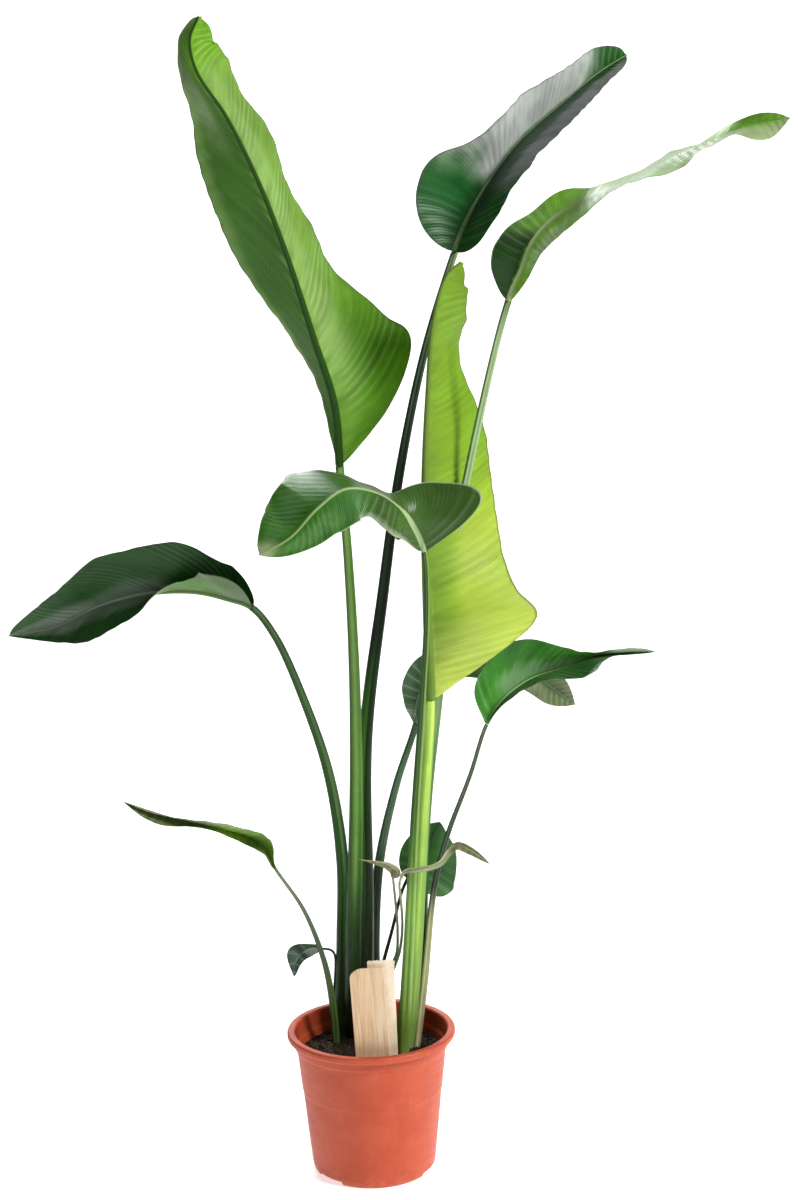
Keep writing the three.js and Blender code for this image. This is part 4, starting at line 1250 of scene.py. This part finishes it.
def soil_mesh():
    """Compost filling the pot: a lumpy surface on a closed body."""
    bottom = POT.raised + POT.floor + SOIL.gap
    inside = pot_inside(POT.round) - 1.5 * MM
    outline = [(0.001, bottom), (0.5 * inside, bottom), (inside - 3 * MM, bottom)]
    outline.append((inside, POT.round + 2 * MM))
    wall = pot_inside(SOIL_TOP) - 1.1 * MM
    for k in range(1, 12):
        z = POT.round + 2 * MM + (SOIL_TOP - 2 * MM - POT.round - 2 * MM) * k / 11
        outline.append((inside + (wall - inside) * k / 11, z))
    rings = []
    turn = 2 * np.pi * np.arange(SOIL.sides) / SOIL.sides
    for r, z in outline:
        rings.append(np.stack([r * np.cos(turn), r * np.sin(turn), z + 0 * turn], -1))
    for k in range(SOIL.rows):
        r = wall * (1 - (k / SOIL.rows)) ** 0.85
        ring = [(r * math.cos(t), r * math.sin(t)) for t in turn]
        rings.append(np.array([(x, y, soil_height(x, y)) for x, y in ring]))
    return loft("compost", np.array(rings), {})


def lump(rng, where, size, flat, sides=7):
    """A small uneven stone-like lump: three rings and two ends."""
    axis = rng.normal(size=3)
    turn = Vector(axis).to_track_quat("Z", "X").to_matrix()
    squash = np.array([1, rng.uniform(0.55, 1), rng.uniform(*flat)])
    points = [np.array([0, 0, -1.0])]
    for level, wide in ((-0.55, 0.8), (0.0, 1.0), (0.55, 0.8)):
        for k in range(sides):
            a = 2 * math.pi * (k + 0.5 * (level == 0)) / sides
            points.append(np.array([wide * math.cos(a), wide * math.sin(a), level]))
    points.append(np.array([0, 0, 1.0]))
    made = []
    for p in points:
        p = p * squash * size * rng.uniform(0.8, 1.15)
        made.append(tuple(np.array(turn @ Vector(p)) + where))
    faces = [(0, 1 + (k + 1) % sides, 1 + k) for k in range(sides)]
    for level in range(2):
        for k in range(sides):
            a, b = 1 + level * sides + k, 1 + level * sides + (k + 1) % sides
            faces.append((a, b, b + sides, a + sides))
    top = len(points) - 1
    faces += [(top, 1 + 2 * sides + k, 1 + 2 * sides + (k + 1) % sides) for k in range(sides)]
    return made, faces


def scatter(name, count, sizes, flat, seed):
    """Loose lumps half sunk in the compost, away from the wall."""
    rng = np.random.default_rng(seed)
    points, faces = [], []
    for _ in range(count):
        r = (pot_inside(SOIL_TOP) - 6 * MM) * math.sqrt(rng.uniform(0, 1))
        t = rng.uniform(0, 2 * math.pi)
        x, y = r * math.cos(t), r * math.sin(t)
        size = rng.uniform(*sizes) * rng.uniform(0.5, 1)
        where = np.array([x, y, soil_height(x, y) + 0.15 * size])
        made, around = lump(rng, where, size, flat)
        faces += [tuple(i + len(points) for i in face) for face in around]
        points += made
    return mesh_of(name, points, faces)


def compost_material(name, dark, middle, pale):
    """Damp peaty compost: dark grains, brown fibres and a few pale ones."""
    n = Nodes(name)
    place = n.place()
    grains = n.noise(place, 420.0, 5.0, 0.75)
    clods = n.noise(place, 70.0, 4.0, 0.6)
    value = n.add(n.times(grains, 0.65), n.times(clods, 0.35))
    stops = ((0.36, dark), (0.52, middle), (0.66, middle), (0.74, pale))
    shown = n.ramp(value, [(where, linear(code)) for where, code in stops])
    rough = n.range(clods, 0.3, 0.7, 0.72, 0.95)
    relief = n.bump(grains, 0.0012, 0.8)
    return n.finish(n.surface(shown, rough, relief, Specular_IOR_Level=0.3))


soil_look = compost_material("compost", "130d09", "2e2018", "6e5138")
chip_look = compost_material("bark", "1d130c", "4a3220", "8a6a48")
new_object("compost", soil_mesh(), soil_look, "soil")


def loose(name, mesh, material):
    piece = bpy.data.objects.new(name, mesh)
    bpy.context.scene.collection.objects.link(piece)
    mesh.materials.append(material)
    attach(piece, "root")


crumbs = scatter("compost_crumbs", SOIL.crumbs, (1.0 * MM, 3.2 * MM), (0.6, 1), 11)
loose("compost_crumbs", crumbs, soil_look)
chips = scatter("bark_chips", SOIL.chips, (2.0 * MM, 5.5 * MM), (0.15, 0.35), 23)
loose("bark_chips", chips, chip_look)


# ---- tags ----------------------------------------------------------------------------------------

# Millimetres, and degrees of lean and roll.
TAG = SimpleNamespace(
    width=42, length=132, thickness=3, clip=10, foot=(4, -78, 150), lean=4, roll=3,
)
CARD = SimpleNamespace(
    width=33, length=140, thickness=1.2, clip=3, foot=(17, -71, 150), lean=4, roll=1,
)


def tag_rings(tag, edge, ragged):
    """Rings over a flat tag from the middle of its back, round its edge, to the middle of its front."""
    half, top, low = tag.width / 2, tag.length, -ROOT / MM
    clip = tag.clip
    corners = rounded([
        (0, low, 0), (half, low, 1.5), (half, top, 2.5), (-half + clip, top, 5),
        (-half, top - 0.7 * clip, 5), (-half, low, 1.5), (0, low, 0),
    ], 8)
    outline = subdivided(corners, 1.6)[:-1]
    if ragged:
        near = np.clip((outline[:, 1] - (top - 2)) / 2, 0, 1)
        rough = np.array([
            noise.noise(Vector((x * 0.55, 3.1, 0))) + 0.6 * noise.noise(Vector((x * 1.7, 0, 1)))
            for x in outline[:, 0]
        ])
        outline[:, 1] -= near * ragged * (1 + rough)
    middle = np.array([0.0, (top + low) / 2])
    away = outline - middle
    thick = tag.thickness / 2
    rows = []
    for s in np.linspace(0.04, 1, 14) ** 0.8:
        rows.append((s, -thick, 0))
    for angle in np.linspace(-80, 80, 7):
        turn = math.radians(angle)
        rows.append((1, thick * math.sin(turn), edge * (1 - math.cos(turn))))
    for s in np.linspace(1, 0.04, 14) ** 0.8:
        rows.append((s, thick, 0))
    rings = []
    for s, depth, inset in rows:
        scale = s - (edge if abs(depth) == thick else inset) / np.linalg.norm(away, axis=1) * (s > 0.5)
        flat = middle + away * scale[:, None]
        rings.append(np.stack([flat[:, 0], np.full(len(flat), -depth), flat[:, 1]], -1) * MM)
    return np.array(rings)


def build_tag(name, tag, material, node, edge, ragged=0.0):
    rings = tag_rings(tag, edge, ragged)
    lean = Matrix.Rotation(math.radians(-tag.lean), 4, "X")
    roll = Matrix.Rotation(math.radians(-tag.roll), 4, "Y")
    mesh = loft(name, rings[:, ::-1], {})
    flat = mesh.attributes.new("flat", "FLOAT_VECTOR", "POINT")
    place = np.zeros(len(mesh.vertices) * 3, np.float32)
    mesh.vertices.foreach_get("co", place)
    flat.data.foreach_set("vector", place)
    mesh.transform(Matrix.Translation(Vector(tag.foot) * MM) @ roll @ lean)
    new_object(name, mesh, material, node)


def wood_material():
    """Bare pale wood: long wandering grain lines, soft bands, dark pores and a dusty sheen."""
    n = Nodes("bare_wood")
    place = n.vector("flat")
    waver = n.noise(n.scaled(place, (30, 30, 6)), 1.0, 2.0)
    drawn_out = n.scaled(place, (1, 0.3, 0.045))
    aside = n.join(n.times(waver, 0.006), 0.0, 0.0)
    along = n.make("ShaderNodeVectorMath", {0: drawn_out, 1: aside}, operation="ADD").outputs[0]
    lines = n.noise(along, 520.0, 4.0, 0.6)
    bands = n.noise(along, 120.0, 2.0)
    stops = ((0.3, "b38f68"), (0.44, "cfae88"), (0.58, "dbc2a2"), (0.75, "e6d2b8"))
    value = n.add(n.times(lines, 0.6), n.times(bands, 0.4))
    shown = n.ramp(value, [(where, linear(code)) for where, code in stops])
    pores = n.range(n.noise(n.scaled(place, (2200, 800, 130)), 1.0, 2.0), 0.66, 0.76, 0.0, 0.5)
    shown = n.mix(pores, shown, linear("8a6238"))
    relief = n.bump(lines, 0.0004, 0.4)
    return n.finish(n.surface(shown, n.range(bands, 0.3, 0.7, 0.6, 0.8), relief))


def card_material():
    """Cream card: faint fibres and a little yellowing."""
    n = Nodes("cream_card")
    place = n.vector("flat")
    fibres = n.noise(n.scaled(place, (500, 500, 1500)), 1.0, 4.0, 0.7)
    patches = n.noise(place, 45.0, 3.0)
    shown = n.mix(n.range(patches, 0.35, 0.7), linear("efe4cf"), linear("dccbaa"))
    shown = n.mix(n.range(fibres, 0.6, 0.75, 0.0, 0.35), shown, linear("bfa980"))
    return n.finish(n.surface(shown, 0.8, n.bump(fibres, 0.0002, 0.4)))


build_tag("wooden_tag", TAG, wood_material(), "tag_front", 0.7)
build_tag("paper_tag", CARD, card_material(), "tag_back", 0.3, ragged=1.3)


# ---- floor, light and camera ---------------------------------------------------------------------

def soft_light(name, where, target, size, watts, colour):
    data = bpy.data.lights.new(name, "AREA")
    data.shape = "DISK"
    data.size = size
    data.energy = watts
    data.color = colour
    light = bpy.data.objects.new(name, data)
    light.location = where
    light.rotation_euler = (Vector(target) - Vector(where)).to_track_quat("-Z", "Y").to_euler()
    bpy.context.scene.collection.objects.link(light)


FLOOR = SimpleNamespace(near=-6.0, back=5.2, bend=1.5, top=7.0, half=8.0)
CAMERA = SimpleNamespace(place=(0.047, -2.4, 1.105), lens=60.3, down=9.1, roll=1.3)
WORLD = 0.14  # strength of the even light from all round
LIGHTS = (  # name, place, what it points at, diameter, watts and colour
    ("key", (2.2, -1.3, 2.2), (0.0, 0.0, 0.7), 1.2, 105, (1.0, 0.98, 0.95)),
    ("back", (-0.5, 2.0, 2.7), (0.0, 0.0, 0.9), 1.2, 65, (0.97, 0.99, 1.0)),
    ("fill", (-2.4, -2.0, 1.2), (0.0, 0.0, 0.6), 1.8, 2.5, (1.0, 1.0, 1.0)),
)


def build_stage():
    """A pale floor that curves up into a backdrop, far enough back for a view from behind."""
    back, bend, half = FLOOR.back, FLOOR.bend, FLOOR.half
    profile = [(FLOOR.near, 0.0), (back, 0.0)]
    for turn in np.linspace(0.1, math.pi / 2, 16):
        profile.append((back + bend * math.sin(turn), bend - bend * math.cos(turn)))
    profile.append((back + bend, FLOOR.top))
    points = [(x, y, z) for y, z in profile for x in (-half, half)]
    faces = [(2 * k, 2 * k + 1, 2 * k + 3, 2 * k + 2) for k in range(len(profile) - 1)]
    n = Nodes("pale_floor")
    shade = n.range(n.noise(n.place(), 3.0, 2.0), 0.3, 0.7, 0.86, 0.9)
    surface = n.surface(n.join(shade, shade, shade), 0.9)
    surface.inputs["Emission Color"].default_value = (1, 1, 1, 1)
    across, away, _ = n.split(n.place())
    middle = n.range(n.math("ABSOLUTE", across), 1.9, 3.0, 1.0, 0.0)
    glow = n.times(middle, n.range(away, 1.0, 3.5, 0.6, 1.0))
    n.put(surface.inputs["Emission Strength"], glow)
    floor = bpy.data.objects.new("pale_floor", mesh_of("pale_floor", points, faces))
    floor.data.materials.append(n.finish(surface))
    bpy.context.scene.collection.objects.link(floor)


def build_camera():
    """The photograph's view: 2.4 m away, a little above the middle, looking slightly down."""
    pitch, roll = math.radians(CAMERA.down), math.radians(CAMERA.roll)
    ahead = Vector((0, math.cos(pitch), -math.sin(pitch)))
    over = Vector((0, math.sin(pitch), math.cos(pitch)))
    side = Vector((1, 0, 0))
    right = side * math.cos(roll) - over * math.sin(roll)
    up = side * math.sin(roll) + over * math.cos(roll)
    turn = Matrix((right, up, -ahead)).transposed().to_4x4()
    data = bpy.data.cameras.new("camera")
    data.lens = CAMERA.lens
    data.sensor_width = 36
    data.clip_end = 50
    camera = bpy.data.objects.new("camera", data)
    camera.matrix_world = Matrix.Translation(CAMERA.place) @ turn
    bpy.context.scene.collection.objects.link(camera)
    bpy.context.scene.camera = camera


build_stage()
build_camera()
for light in LIGHTS:
    soft_light(*light)

world = bpy.data.worlds.new("studio")
bpy.context.scene.world = world
world.use_nodes = True
world.node_tree.nodes["Background"].inputs[0].default_value = (1, 1, 1, 1)
world.node_tree.nodes["Background"].inputs[1].default_value = WORLD
bpy.context.scene.view_settings.view_transform = "Standard"
